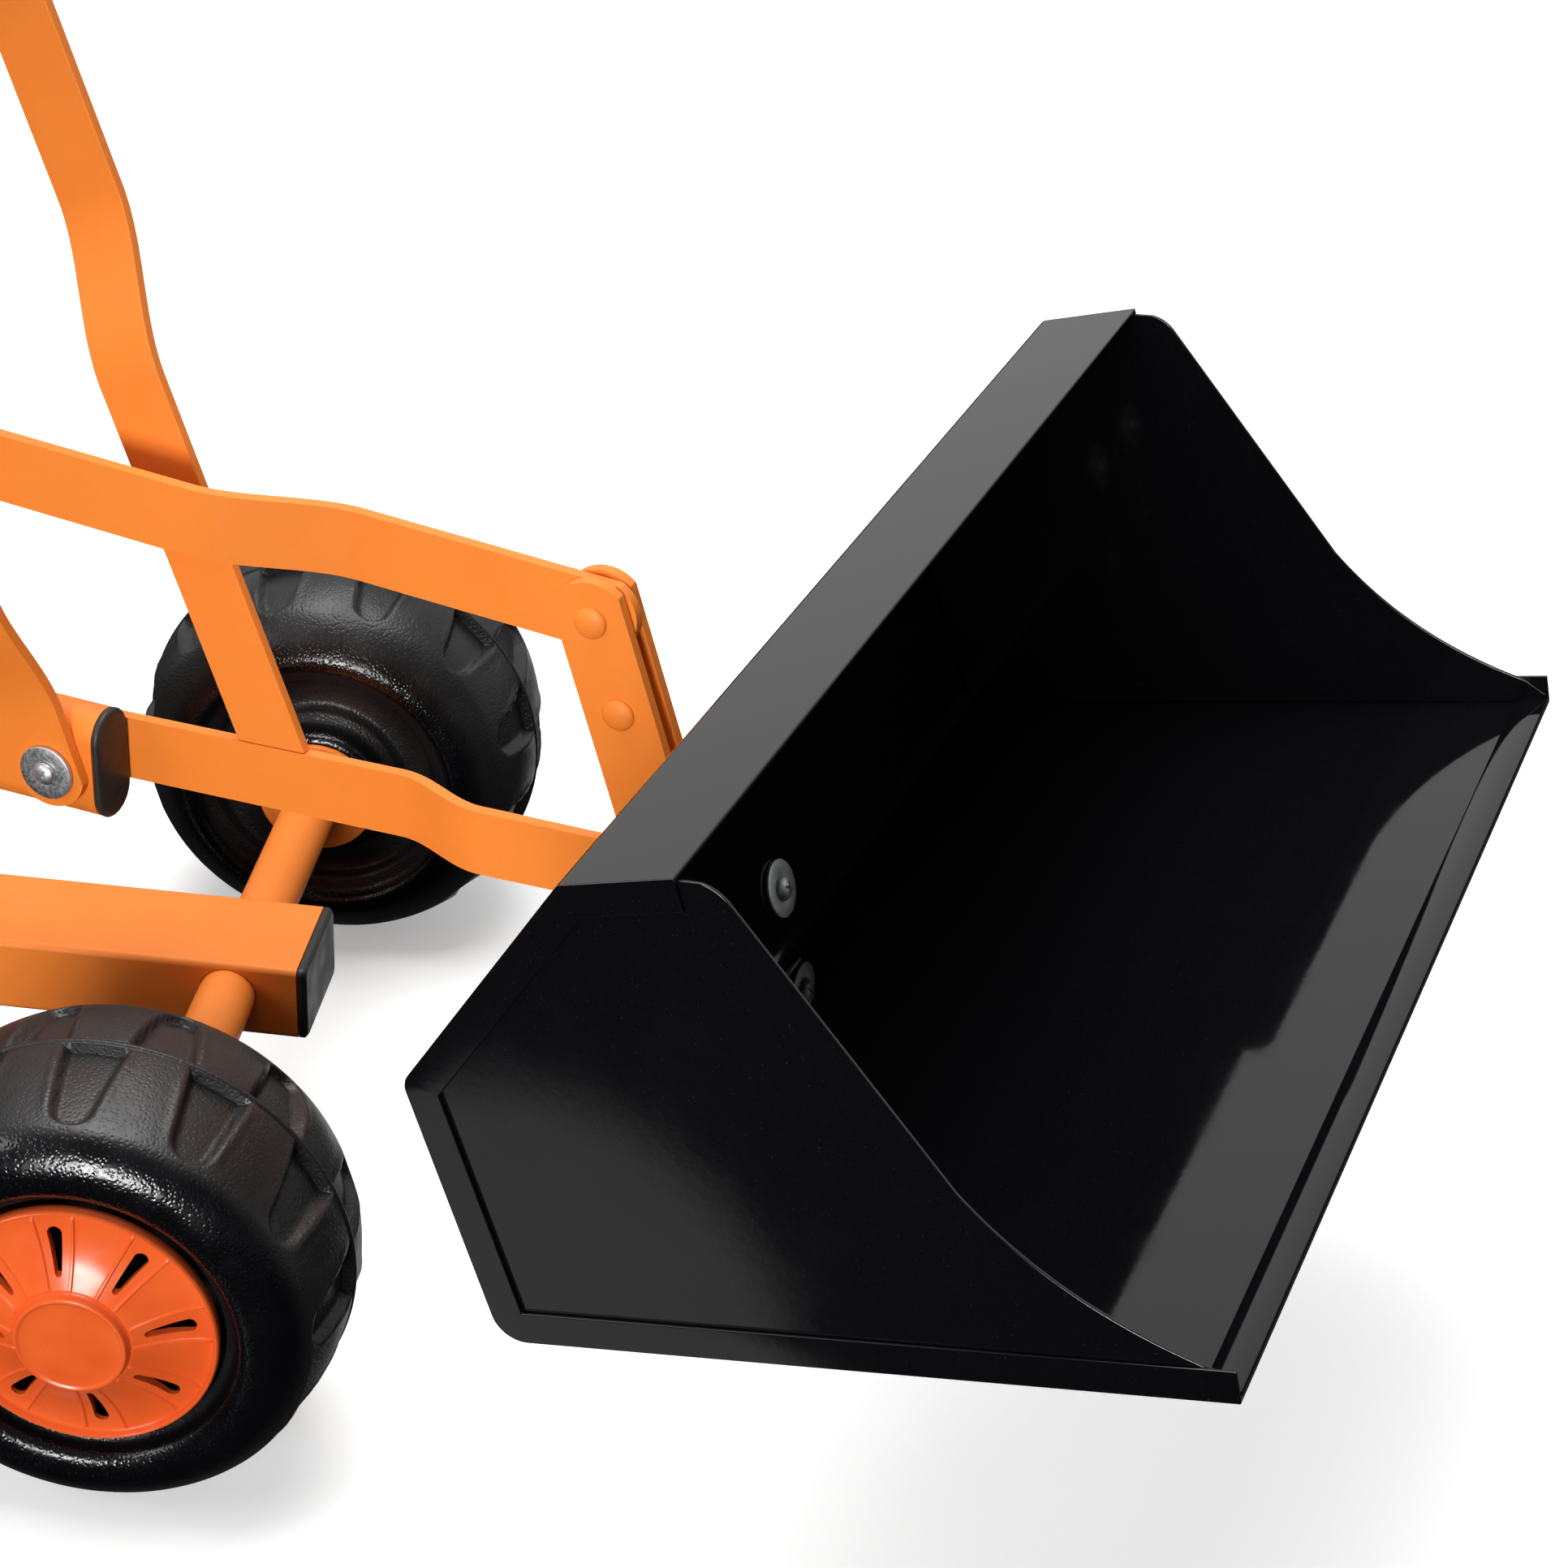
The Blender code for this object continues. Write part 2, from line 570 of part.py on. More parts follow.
def build_tilt_lever():
    ahead = Vector(PIVOT_D) - Vector(PIVOT_A)
    length = (LEVER_TOP - 15 - PIVOT_A[1]) / ahead.normalized().y
    top = point_on(PIVOT_A, PIVOT_D, length)
    bar = flat_bar(PIVOT_A, top, joggle(-SIDE_Q, RIGHT_LEVER_Q, 26, 88), plain_end=True)
    lever = place("right_lever", bar, ORANGE, TILT, 30)
    cut(lever, "lever_pivot_hole", cross_rod(BOLT_R + RUN, -26, -8, PIVOT_A))
    cut(lever, "lever_rod_hole", cross_rod(4 + GAP, -40, -22, PIVOT_D))
    place("right_grip", grip(PIVOT_A, top, RIGHT_LEVER_Q), RUBBER, TILT, 40)
    outer = RIGHT_LEVER_Q - BAR_THICK / 2 - GAP
    inner = RIGHT_LEVER_Q + BAR_THICK / 2 + GAP
    rod_outer = ROD_Q - BAR_THICK / 2 - GAP
    rod_inner = ROD_Q + BAR_THICK / 2 + GAP
    pin = [(0, outer - 4), (5, outer - 3.2), (8, outer), (4, outer), (4, inner), (8, inner),
           (8, rod_outer), (4, rod_outer), (4, rod_inner), (7, rod_inner), (4.5, rod_inner + 2.6),
           (0, rod_inner + 3.2)]
    place("lever_pin", lathe(pin, (0, -PIVOT_D[0], PIVOT_D[1]), "X", 18), ZINC, TILT, 30)
    build_tilt_rod()


def build_tilt_rod():
    bar = flat_bar(PIVOT_D, PIVOT_C, joggle(ROD_Q, 0.0, 122, 190))
    rod_bar = place("tilt_rod", bar, ORANGE, TILT_ROD, 30)
    cut(rod_bar, "rod_lever_hole", cross_rod(4 + RUN, -28, -10, PIVOT_D))
    ahead = (Vector(PIVOT_C) - Vector(PIVOT_D)).normalized()
    across = Vector((ahead.y, -ahead.x))
    outline = []
    for side, reach in ((1, SLOT_REACH[1]), (-1, -SLOT_REACH[0])):
        for x, y in arc((0, 0), RIVET_R + SLOT_PLAY, -90, 90, 6):
            spot = Vector(PIVOT_C) + (ahead * (reach + x) + across * y) * side
            outline.append((spot.x, spot.y))
    cut(rod_bar, "rod_slot", side_plate(outline, -8, 8))


# ---------------------------------------------------------------- bucket

def sheet_lines(inset):
    """Side outline of the bent sheet, moved inwards by inset; bends keep one centre each."""
    corners = [Vector(p) for p in (TOP_FRONT, TOP_REAR, BACK, HEEL, LIP)]
    keys = (TOP_FRONT, TOP_REAR, BACK, HEEL, LIP)
    lines = []
    for i, corner in enumerate(corners):
        if i in (0, len(corners) - 1):
            other = corners[1] if i == 0 else corners[i - 1]
            run = (corner - other).normalized() * (-1 if i == 0 else 1)
            inward = Vector((-run.y, run.x))
            lines.append(corner + inward * inset)
            continue
        before = (corner - corners[i - 1]).normalized()
        after = (corners[i + 1] - corner).normalized()
        turn = before.angle(after)
        bend = BEND_R[keys[i]]
        steps = 5
        n_before, n_after = Vector((-before.y, before.x)), Vector((-after.y, after.x))
        middle = (n_before + n_after).normalized() / math.cos(turn / 2)
        centre = corner + middle * bend
        for k in range(steps + 1):
            if inset >= bend:
                lines.append(corner + middle * inset)
                continue
            share = k / steps
            direction = n_before.copy()
            direction.rotate(Matrix.Rotation(turn * share, 2))
            lines.append(centre - direction * (bend - inset))
    return lines


def build_bucket_sheet():
    """Bent back, floor and top, with narrow flanges folded round the outside of the side plates."""
    outer, skin, flange = sheet_lines(0.0), sheet_lines(SHEET), sheet_lines(SIDE_FLANGE)
    wide, step = BUCKET_HALF_WIDTH, BUCKET_HALF_WIDTH - SHEET
    rings = []
    for o, s, e in zip(outer, skin, flange):
        ring = [(o, -wide), (o, wide), (e, wide), (e, step), (s, step), (s, -step), (e, -step), (e, -wide)]
        rings.append([(q, -p.x, p.y) for p, q in ring])
    sheet = place("bucket_sheet", loft(rings), BLACK_STEEL, BUCKET, 30)
    back = (Vector(BACK) - Vector(HEEL)).normalized()
    spot = Vector(HEEL) + back * BRACKET_BOLT_UP
    for side in (-1, 1):
        hole = lathe([(0, -20), (BOLT_R + GAP, -20), (BOLT_R + GAP, 20), (0, 20)],
                     (0, 0, 0), "Y", 16)
        hole.transform(panel_matrix(spot, side * BRACKET_BOLT_Q))
        cut(sheet, "bracket_hole_%s" % ("left" if side > 0 else "right"), hole)


def panel_matrix(spot, q):
    """Frame on the lower back panel: local +Y points out of the rear of the bucket."""
    back = (Vector(BACK) - Vector(HEEL)).normalized()
    up = Vector((0, -back.x, back.y))
    out = Vector((0, back.y, back.x))
    across = Vector((1, 0, 0))
    turned = Matrix((across, out, up)).transposed().to_4x4()
    return Matrix.Translation(Vector((q, -spot.x, spot.y))) @ turned


def build_bucket_sides():
    """Side plates inside the flanges: straight raked front edge, then a hollow curve to the lip."""
    inside = sheet_lines(SHEET + GAP)
    top_corner = arc((564, 397.5), 16.0, 84, 40, 5)
    slope_end = Vector((657, 321.5))
    control = Vector((694, 289.0))
    curve_end = Vector((746.0, 280.6))
    curve = []
    for k in range(9):
        t = k / 8
        curve.append(slope_end * (1 - t) ** 2 + control * 2 * t * (1 - t) + curve_end * t ** 2)
    tip = Vector(LIP) - (Vector(LIP) - Vector(HEEL)).normalized() * 1.0
    outline = [(p.x, p.y) for p in inside[:-1]]
    along = (Vector(LIP) - Vector(HEEL)).normalized()
    up = Vector((-along.y, along.x))
    nose = tip + up * (SHEET + GAP)
    crown = tip + up * (SHEET + 3.5)
    outline += [(nose.x, nose.y), (crown.x, crown.y)]
    outline += [(p.x, p.y) for p in reversed(curve)]
    outline += list(reversed(top_corner))
    outer = BUCKET_HALF_WIDTH - SHEET - GAP
    for side, label in ((1, "left"), (-1, "right")):
        low, high = sorted((side * outer, side * (outer - SHEET)))
        place("bucket_side_%s" % label, side_plate(outline, low, high), BLACK_STEEL, BUCKET, 30)


def build_bracket():
    """A hat-shaped strap bolted to the lower back panel, which the two ears are welded to."""
    back = (Vector(BACK) - Vector(HEEL)).normalized()
    spot = Vector(HEEL) + back * BRACKET_BOLT_UP
    raised = 8.1
    thick = 3.0
    section = [(-42, GAP), (-18, GAP), (-14, raised - thick), (14, raised - thick), (18, GAP), (42, GAP),
               (42, GAP + thick), (20, GAP + thick), (16, raised), (-16, raised), (-20, GAP + thick),
               (-42, GAP + thick)]
    strap = loft([[(x, y, z) for x, y in section] for z in (-13.5, 54.5)])
    strap.transform(panel_matrix(spot, 0))
    made = place("ear_bracket", strap, ORANGE, BUCKET)
    for side, label in ((1, "left"), (-1, "right")):
        spot_frame = panel_matrix(spot, side * BRACKET_BOLT_Q)
        hole = rod(BOLT_R + GAP, -5, 20, (0, 0, 0), "Y", 16)
        hole.transform(spot_frame)
        cut(made, "strap_hole_%s" % label, hole)
        inside = -SHEET - GAP
        washer = lathe([(BOLT_R + GAP, inside - 1.6), (12.2, inside - 1.6), (12.2, inside),
                        (BOLT_R + GAP, inside)], (0, 0, 0), "Y", 24)
        washer.transform(spot_frame)
        place("bucket_washer_%s" % label, washer, ZINC, BUCKET, 30)
        head = inside - 1.6 - GAP
        screw = lathe([(0, head - 3.4), (3.2, head - 2.8), (5.4, head), (BOLT_R, head), (BOLT_R, 13),
                       (0, 13)], (0, 0, 0), "Y", 16)
        screw.transform(spot_frame)
        place("bucket_screw_%s" % label, screw, ZINC, BUCKET, 30)
        low = 2 * GAP + thick
        nut = lathe([(BOLT_R + GAP, low), (5.8, low), (5.8, low + 6), (BOLT_R + GAP, low + 6)],
                    (0, 0, 0), "Y", 16)
        nut.transform(spot_frame)
        place("bucket_nut_%s" % label, nut, ZINC, BUCKET, 30)


def build_ears():
    second = point_on(PIVOT_C, PIVOT_B, RIVET_STEP)
    outer = EAR_Q + BAR_THICK / 2 + GAP
    for side, label in ((1, "left"), (-1, "right")):
        straight = joggle(side * EAR_Q, side * EAR_Q, 40, 80)
        ear = place("ear_%s" % label, flat_bar(PIVOT_B, PIVOT_C, straight, 15.2, END_R),
                    ORANGE, BUCKET, 30)
        for name, point, radius in (("bolt", PIVOT_B, BOLT_R), ("rivet", PIVOT_C, RIVET_R),
                                    ("second", second, RIVET_R)):
            hole = cross_rod(radius + GAP, side * EAR_Q - 6, side * EAR_Q + 6, point)
            cut(ear, "ear_%s_%s" % (name, label), hole)
    for name, point in (("top_rivet", PIVOT_C), ("lower_rivet", second)):
        dome = [(0, -outer - 2.2), (4, -outer - 1.6), (6.3, -outer), (RIVET_R, -outer), (RIVET_R, outer),
                (6.3, outer), (4, outer + 1.6), (0, outer + 2.2)]
        place(name, lathe(dome, (0, -point[0], point[1]), "X", 16), ORANGE, BUCKET, 30)
    bolt = [(0, -outer - 5), (5.5, -outer - 5), (5.5, -outer), (BOLT_R, -outer), (BOLT_R, outer + 8),
            (0, outer + 8)]
    centre = (0, -PIVOT_B[0], PIVOT_B[1])
    place("bucket_pivot_bolt", lathe(bolt, centre, "X", 16), ZINC, BUCKET, 30)
    nut = [(BOLT_R + GAP, outer), (5.8, outer), (5.8, outer + 6.5), (BOLT_R + GAP, outer + 6.5)]
    place("bucket_pivot_nut", lathe(nut, centre, "X", 16), ZINC, BUCKET, 30)


build_beam()
build_axles()
build_post()
build_wheels()
build_tube()
build_slew_bearing()
build_seat()
build_pivot_bolt()
build_arm()
build_tilt_lever()
build_bucket_sheet()
build_bucket_sides()
build_bracket()
build_ears()
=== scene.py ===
"""Looks of the ride-on toy digger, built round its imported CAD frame.  Lengths in mm unless said otherwise."""
import math

import bmesh
import bpy
from mathutils import Matrix, Vector


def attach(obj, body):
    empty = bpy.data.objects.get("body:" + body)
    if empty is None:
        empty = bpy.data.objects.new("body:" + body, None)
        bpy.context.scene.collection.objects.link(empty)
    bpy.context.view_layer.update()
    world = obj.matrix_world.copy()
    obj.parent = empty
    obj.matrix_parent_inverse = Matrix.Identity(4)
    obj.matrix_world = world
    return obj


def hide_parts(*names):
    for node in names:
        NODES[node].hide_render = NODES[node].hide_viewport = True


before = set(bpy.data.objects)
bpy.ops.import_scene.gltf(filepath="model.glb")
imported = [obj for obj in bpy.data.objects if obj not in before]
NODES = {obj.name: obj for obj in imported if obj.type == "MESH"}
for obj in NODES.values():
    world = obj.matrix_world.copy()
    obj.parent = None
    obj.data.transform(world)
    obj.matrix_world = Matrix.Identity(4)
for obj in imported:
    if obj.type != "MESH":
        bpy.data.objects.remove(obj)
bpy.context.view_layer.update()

MM = 0.001

# Layout of the frame: slew axis, rest angle of the upper frame and its pivots as (ahead, height)
SLEW = Vector((79.6, 233.9, 0.0))
UPPER = Matrix.Translation(SLEW) @ Matrix.Rotation(math.radians(-14.9), 4, "Z")
AXLE_Y, WHEEL_X, AXLE_Z = 228.0, 210.0, 100.0
BEAM_HIGH, POST_TOP = 116.0, 192.6
TUBE_Z, TUBE_WIDTH, TUBE_HEIGHT, TUBE_FRONT, TUBE_REAR = 229.6, 25.0, 51.0, 192.5, -250.0
PIVOT_A, PIVOT_B, PIVOT_C, PIVOT_D = (174.0, TUBE_Z), (459.1, 240.9), (420.9, 355.4), (128.0, 373.5)
EAR_Q = 6.0
BUCKET_HALF_WIDTH, SHEET, FOLD = 250.5, 1.5, 12.5
TOP_EDGE, TOP_CORNER = (557.1, 414.1), (517.3, 400.6)
LIP, HEEL, BACK = (756.8, 271.7), (498.3, 206.8), (461.0, 306.1)
BEND_RADII = {1: 4.0, 2: 8.0, 3: 12.0}      # outside radius at each folded corner of the sheet
HEM = 13.6              # width of the lip folded back on itself
CLEARANCE = 0.3         # gap between neighbouring parts, as in the CAD model
BAR_HALF, BAR_THICK = 15.0, 5.0
LEFT_LEVER_Q, RIGHT_LEVER_Q, ROD_Q = 34.5, -30.5, -18.5         # sideways place of each bar
LEFT_FOOT, LEFT_LEAN, LEFT_TOP, RIGHT_TOP = 265.5, 110.9, 655.0, 640.0      # the lean is in degrees
BOLT_HOLE = 3.3


# ---------------------------------------------------------------- node materials

def smooth_range(tree, value, low, high, first, last):
    """A smooth step from first to last as a node value goes from low to high."""
    made = tree.nodes.new("ShaderNodeMapRange")
    made.interpolation_type = "SMOOTHSTEP"
    for key, number in (("From Min", low), ("From Max", high), ("To Min", first), ("To Max", last)):
        made.inputs[key].default_value = number
    tree.links.new(value, made.inputs["Value"])
    return made.outputs["Result"]


class Shader:
    """A Principled material with small helpers for procedural detail in metres."""

    def __init__(self, name, colour, roughness, **inputs):
        self.material = bpy.data.materials.new(name)
        self.material.use_nodes = True
        self.tree = self.material.node_tree
        self.bsdf = self.tree.nodes["Principled BSDF"]
        self.bsdf.inputs["Base Color"].default_value = (*colour, 1.0)
        self.bsdf.inputs["Roughness"].default_value = roughness
        for key, value in inputs.items():
            self.bsdf.inputs[key.replace("_", " ")].default_value = value
        self.material.diffuse_color = (*colour, 1.0)
        self.coordinates = self.tree.nodes.new("ShaderNodeTexCoord").outputs["Object"]
        self.height = None

    def link(self, a, b):
        self.tree.links.new(a, b)

    def noise(self, scale, detail, kind="ShaderNodeTexNoise", output=0):
        made = self.tree.nodes.new(kind)
        made.inputs["Scale"].default_value = scale
        if "Detail" in made.inputs:
            made.inputs["Detail"].default_value = detail
        self.link(self.coordinates, made.inputs["Vector"])
        return made.outputs[output]

    def ramp(self, value, low, high, first, last):
        return smooth_range(self.tree, value, low, high, first, last)

    def mix_colour(self, factor, first, second):
        made = self.tree.nodes.new("ShaderNodeMix")
        made.data_type = "RGBA"
        self.link(factor, made.inputs[0])
        for socket, colour in ((made.inputs[6], first), (made.inputs[7], second)):
            if isinstance(colour, tuple):
                socket.default_value = (*colour, 1.0)
            else:
                self.link(colour, socket)
        return made.outputs[2]

    def colour(self, value):
        self.link(value, self.bsdf.inputs["Base Color"])

    def roughness(self, value):
        self.link(value, self.bsdf.inputs["Roughness"])

    def bump(self, value, depth_mm, strength):
        made = self.tree.nodes.new("ShaderNodeBump")
        made.inputs["Strength"].default_value = strength
        made.inputs["Distance"].default_value = depth_mm * MM
        self.link(value, made.inputs["Height"])
        if self.height:
            self.link(self.height, made.inputs["Normal"])
        self.height = made.outputs["Normal"]
        self.link(self.height, self.bsdf.inputs["Normal"])


def powder_coat():
    made = Shader("orange_powder_coat", (0.88, 0.23, 0.03), 0.46, Specular_IOR_Level=0.3)
    cloud = made.noise(9.0, 4.0)
    tint = made.mix_colour(made.ramp(cloud, 0.3, 0.7, 0.0, 1.0), (0.85, 0.218, 0.026), (0.92, 0.245, 0.034))
    specks = made.ramp(made.noise(900.0, 2.0), 0.62, 0.75, 0.0, 0.35)
    made.colour(made.mix_colour(specks, tint, (0.74, 0.17, 0.02)))
    made.roughness(made.ramp(made.noise(160.0, 4.0), 0.3, 0.7, 0.40, 0.54))
    made.bump(made.noise(520.0, 3.0), 0.035, 0.7)
    made.bump(made.noise(60.0, 2.0), 0.12, 0.35)
    return made.material


def gloss_paint():
    made = Shader("black_gloss_paint", (0.0035, 0.0035, 0.0042), 0.09, Coat_Weight=0.35,
                  Coat_Roughness=0.05, IOR=1.45)
    made.roughness(made.ramp(made.noise(35.0, 5.0), 0.35, 0.7, 0.04, 0.075))
    specks = made.ramp(made.noise(1500.0, 1.0), 0.70, 0.78, 0.0, 0.6)
    made.colour(made.mix_colour(specks, (0.0032, 0.0032, 0.004), (0.03, 0.03, 0.033)))
    made.bump(made.noise(240.0, 2.0), 0.02, 0.3)
    made.bump(made.noise(14.0, 1.0), 0.3, 0.08)
    return made.material


def moulded(name, colour, roughness, grain, depth):
    """Moulded black plastic with a fine leather grain."""
    made = Shader(name, colour, roughness, Specular_IOR_Level=0.5)
    light = tuple(min(1.0, c * 1.5 + 0.002) for c in colour)
    made.colour(made.mix_colour(made.ramp(made.noise(22.0, 5.0), 0.35, 0.7, 0.0, 1.0), colour, light))
    made.roughness(made.ramp(made.noise(70.0, 4.0), 0.3, 0.7, roughness - 0.06, roughness + 0.06))
    cells = made.noise(grain, 0.0, kind="ShaderNodeTexVoronoi")
    made.bump(made.ramp(cells, 0.0, 0.6, 0.0, 1.0), depth, 0.8)
    made.bump(made.noise(grain * 0.45, 3.0), depth * 1.5, 0.6)
    return made.material


def hub_plastic():
    made = Shader("hub_cap_plastic", (0.80, 0.115, 0.022), 0.2, Specular_IOR_Level=0.5)
    cloud = made.ramp(made.noise(30.0, 3.0), 0.35, 0.65, 0.0, 1.0)
    made.colour(made.mix_colour(cloud, (0.78, 0.105, 0.02), (0.84, 0.13, 0.026)))
    made.roughness(made.ramp(made.noise(90.0, 3.0), 0.3, 0.7, 0.16, 0.28))
    made.bump(made.noise(300.0, 2.0), 0.02, 0.5)
    return made.material


def zinc():
    made = Shader("zinc_plate", (0.74, 0.75, 0.77), 0.45, Metallic=1.0)
    patches = made.noise(420.0, 3.0, kind="ShaderNodeTexVoronoi", output=1)
    tone = made.tree.nodes.new("ShaderNodeRGBToBW")
    made.link(patches, tone.inputs[0])
    made.colour(made.mix_colour(made.ramp(tone.outputs[0], 0.2, 0.8, 0.0, 1.0),
                                (0.46, 0.47, 0.49), (0.66, 0.67, 0.68)))
    made.roughness(made.ramp(made.noise(700.0, 3.0), 0.3, 0.7, 0.38, 0.56))
    made.bump(made.noise(900.0, 2.0), 0.02, 0.6)
    return made.material


def grip_rubber():
    made = Shader("black_grip", (0.012, 0.012, 0.012), 0.72, Sheen_Weight=0.15)
    made.colour(made.mix_colour(made.ramp(made.noise(45.0, 4.0), 0.3, 0.7, 0.0, 1.0),
                                (0.010, 0.010, 0.010), (0.022, 0.022, 0.022)))
    made.roughness(made.ramp(made.noise(200.0, 3.0), 0.3, 0.7, 0.62, 0.8))
    made.bump(made.noise(1100.0, 2.0), 0.06, 0.8)
    return made.material


def tyre_plastic():
    """Leather-grained tread, with a glossier and darker sidewall beyond 50 mm from the wheel's middle."""
    made = Shader("tyre_plastic", (0.010, 0.0098, 0.010), 0.36, Specular_IOR_Level=0.5)
    split = made.tree.nodes.new("ShaderNodeSeparateXYZ")
    made.link(made.coordinates, split.inputs[0])
    size = made.tree.nodes.new("ShaderNodeMath")
    size.operation = "ABSOLUTE"
    made.link(split.outputs["X"], size.inputs[0])
    sidewall = made.ramp(size.outputs[0], 0.046, 0.054, 0.0, 1.0)
    made.colour(made.mix_colour(sidewall, (0.0080, 0.0074, 0.0077), (0.0022, 0.0023, 0.0032)))
    wear = made.ramp(made.noise(60.0, 4.0), 0.3, 0.7, -0.05, 0.05)
    tone = made.ramp(sidewall, 0.0, 1.0, 0.40, 0.20)
    total = made.tree.nodes.new("ShaderNodeMath")
    made.link(tone, total.inputs[0])
    made.link(wear, total.inputs[1])
    made.roughness(total.outputs[0])
    cells = made.noise(620.0, 0.0, kind="ShaderNodeTexVoronoi")
    made.bump(made.ramp(cells, 0.0, 0.6, 0.0, 1.0), 0.14, 0.8)
    made.bump(made.noise(300.0, 3.0), 0.22, 0.7)
    return made.material


PAINT = powder_coat()
GLOSS = gloss_paint()
TYRE = tyre_plastic()
CAP = moulded("black_plastic", (0.016, 0.0155, 0.015), 0.46, 1000.0, 0.08)
SEAT = moulded("seat_plastic", (0.016, 0.016, 0.0165), 0.42, 620.0, 0.16)
HUB = hub_plastic()
ZINC = zinc()
RUBBER = grip_rubber()


# ---------------------------------------------------------------- mesh helpers

def arc(centre, radius, start, end, steps):
    return [(centre[0] + radius * math.cos(math.radians(start + (end - start) * k / steps)),
             centre[1] + radius * math.sin(math.radians(start + (end - start) * k / steps)))
            for k in range(steps + 1)]


def loft(rings, closed=False):
    """Skin equal rings of points; the ends are filled unless the loft is closed."""
    made = bmesh.new()
    rows = [[made.verts.new(point) for point in ring] for ring in rings]
    count = len(rows[0])
    pairs = list(zip(rows, rows[1:] + rows[:1])) if closed else list(zip(rows, rows[1:]))
    for row, following in pairs:
        for i in range(count):
            j = (i + 1) % count
            made.faces.new((row[i], row[j], following[j], following[i]))
    if not closed:
        made.faces.new(rows[0])
        made.faces.new(list(reversed(rows[-1])))
    return made


def bridge(made, rings):
    """Faces from each ring to the next and from the last to the first; a repeated point makes a triangle."""
    for ring, following in zip(rings, rings[1:] + rings[:1]):
        for k in range(len(ring)):
            n = (k + 1) % len(ring)
            corners = []
            for vert in (ring[k], ring[n], following[n], following[k]):
                if vert not in corners:
                    corners.append(vert)
            if len(corners) > 2:
                made.faces.new(corners)


def lathe(profile, centre=(0, 0, 0), axis="X", segments=72):
    """Turn a closed (radius, along) outline about an axis."""
    made = bmesh.new()
    frames = {"X": lambda r, s, a, b: (s, a, b), "Y": lambda r, s, a, b: (b, s, a),
              "Z": lambda r, s, a, b: (a, b, s)}
    rings = []
    for radius, along in profile:
        points = []
        for k in range(1 if radius == 0 else segments):
            turn = math.tau * k / segments
            local = frames[axis](radius, along, radius * math.cos(turn), radius * math.sin(turn))
            points.append(made.verts.new(Vector(local) + Vector(centre)))
        rings.append(points * segments if radius == 0 else points)
    bridge(made, rings)
    return made


def rounded_section(half_x, half_z, radius, steps):
    points = []
    for corner, (sx, sz) in enumerate(((1, 1), (-1, 1), (-1, -1), (1, -1))):
        centre = (sx * (half_x - radius), sz * (half_z - radius))
        points += arc(centre, radius, 90 * corner, 90 * corner + 90, steps)
    return points


def bevel_profile(profile, size):
    """Cut the corners of a closed (radius, along) outline so that a turned piece has soft edges."""
    made = []
    for i, corner in enumerate(profile):
        here = Vector(corner)
        before, after = Vector(profile[i - 1]), Vector(profile[(i + 1) % len(profile)])
        cut = min(size, (before - here).length * 0.4, (after - here).length * 0.4)
        first = here + (before - here).normalized() * cut
        last = here + (after - here).normalized() * cut
        made += [tuple(first), tuple(first.lerp(last, 0.5).lerp(here, 0.3)), tuple(last)]
    return made


def piece(name, mesh_mm, paint, body, replaced=(), matrix=None, smooth=35.0):
    """Turn a bmesh in millimetres into a piece of the object that rides a body."""
    if matrix:
        mesh_mm.transform(matrix)
    bmesh.ops.remove_doubles(mesh_mm, verts=mesh_mm.verts, dist=0.0005)
    bmesh.ops.recalc_face_normals(mesh_mm, faces=mesh_mm.faces)
    mesh_mm.transform(Matrix.Scale(MM, 4))
    data = bpy.data.meshes.new(name)
    mesh_mm.to_mesh(data)
    mesh_mm.free()
    data.materials.append(paint)
    data.shade_smooth()
    data.set_sharp_from_angle(angle=math.radians(smooth))
    made = bpy.data.objects.new(name, data)
    bpy.context.scene.collection.objects.link(made)
    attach(made, body)
    if replaced:
        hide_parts(*replaced)
    return made


def subtract(target, cutters):
    """Cut bmeshes given in the target's own millimetres out of it, for good."""
    for mesh_mm in cutters:
        mesh_mm.transform(Matrix.Scale(MM, 4))
        data = bpy.data.meshes.new("cutter")
        mesh_mm.to_mesh(data)
        mesh_mm.free()
        tool = bpy.data.objects.new("cutter", data)
        tool.matrix_world = target.matrix_world
        bpy.context.scene.collection.objects.link(tool)
        step = target.modifiers.new("cut", "BOOLEAN")
        step.operation, step.object, step.solver = "DIFFERENCE", tool, "EXACT"
        bpy.context.view_layer.update()
        result = bpy.data.meshes.new_from_object(target.evaluated_get(bpy.context.evaluated_depsgraph_get()))
        target.modifiers.clear()
        target.data = result
        bpy.data.objects.remove(tool)


def dress(node, paint, bevel):
    """Give a CAD node its material and softened edges; its own vertices stay as they are."""
    made = NODES[node]
    made.data.materials.clear()
    made.data.materials.append(paint)
    made.data.polygons.foreach_set("use_smooth", [True] * len(made.data.polygons))
    weld = made.modifiers.new("weld", "WELD")
    weld.merge_threshold = 0.00001
    clean = made.modifiers.new("clean", "DECIMATE")
    clean.decimate_type, clean.angle_limit = "DISSOLVE", math.radians(0.3)
    soften(made, bevel)


def soften(made, size=0.6, segments=2, angle=35):
    """Rounded edges with clean shading, as a modifier pair."""
    edge = made.modifiers.new("edge", "BEVEL")
    edge.width, edge.segments, edge.limit_method = size * MM, segments, "ANGLE"
    edge.angle_limit = math.radians(angle)
    shade = made.modifiers.new("shade", "WEIGHTED_NORMAL")
    shade.weight = 80


# ---------------------------------------------------------------- wheels

POCKETS = 12            # tread pockets round each half of a tyre, staggered between the halves
COLUMNS = 34            # mesh columns per pocket
POCKET_PHASE = 0.9      # degrees
POCKET_DEPTH = 5.0
WALL = 1.3              # degrees that a pocket's side wall reaches beyond its edge


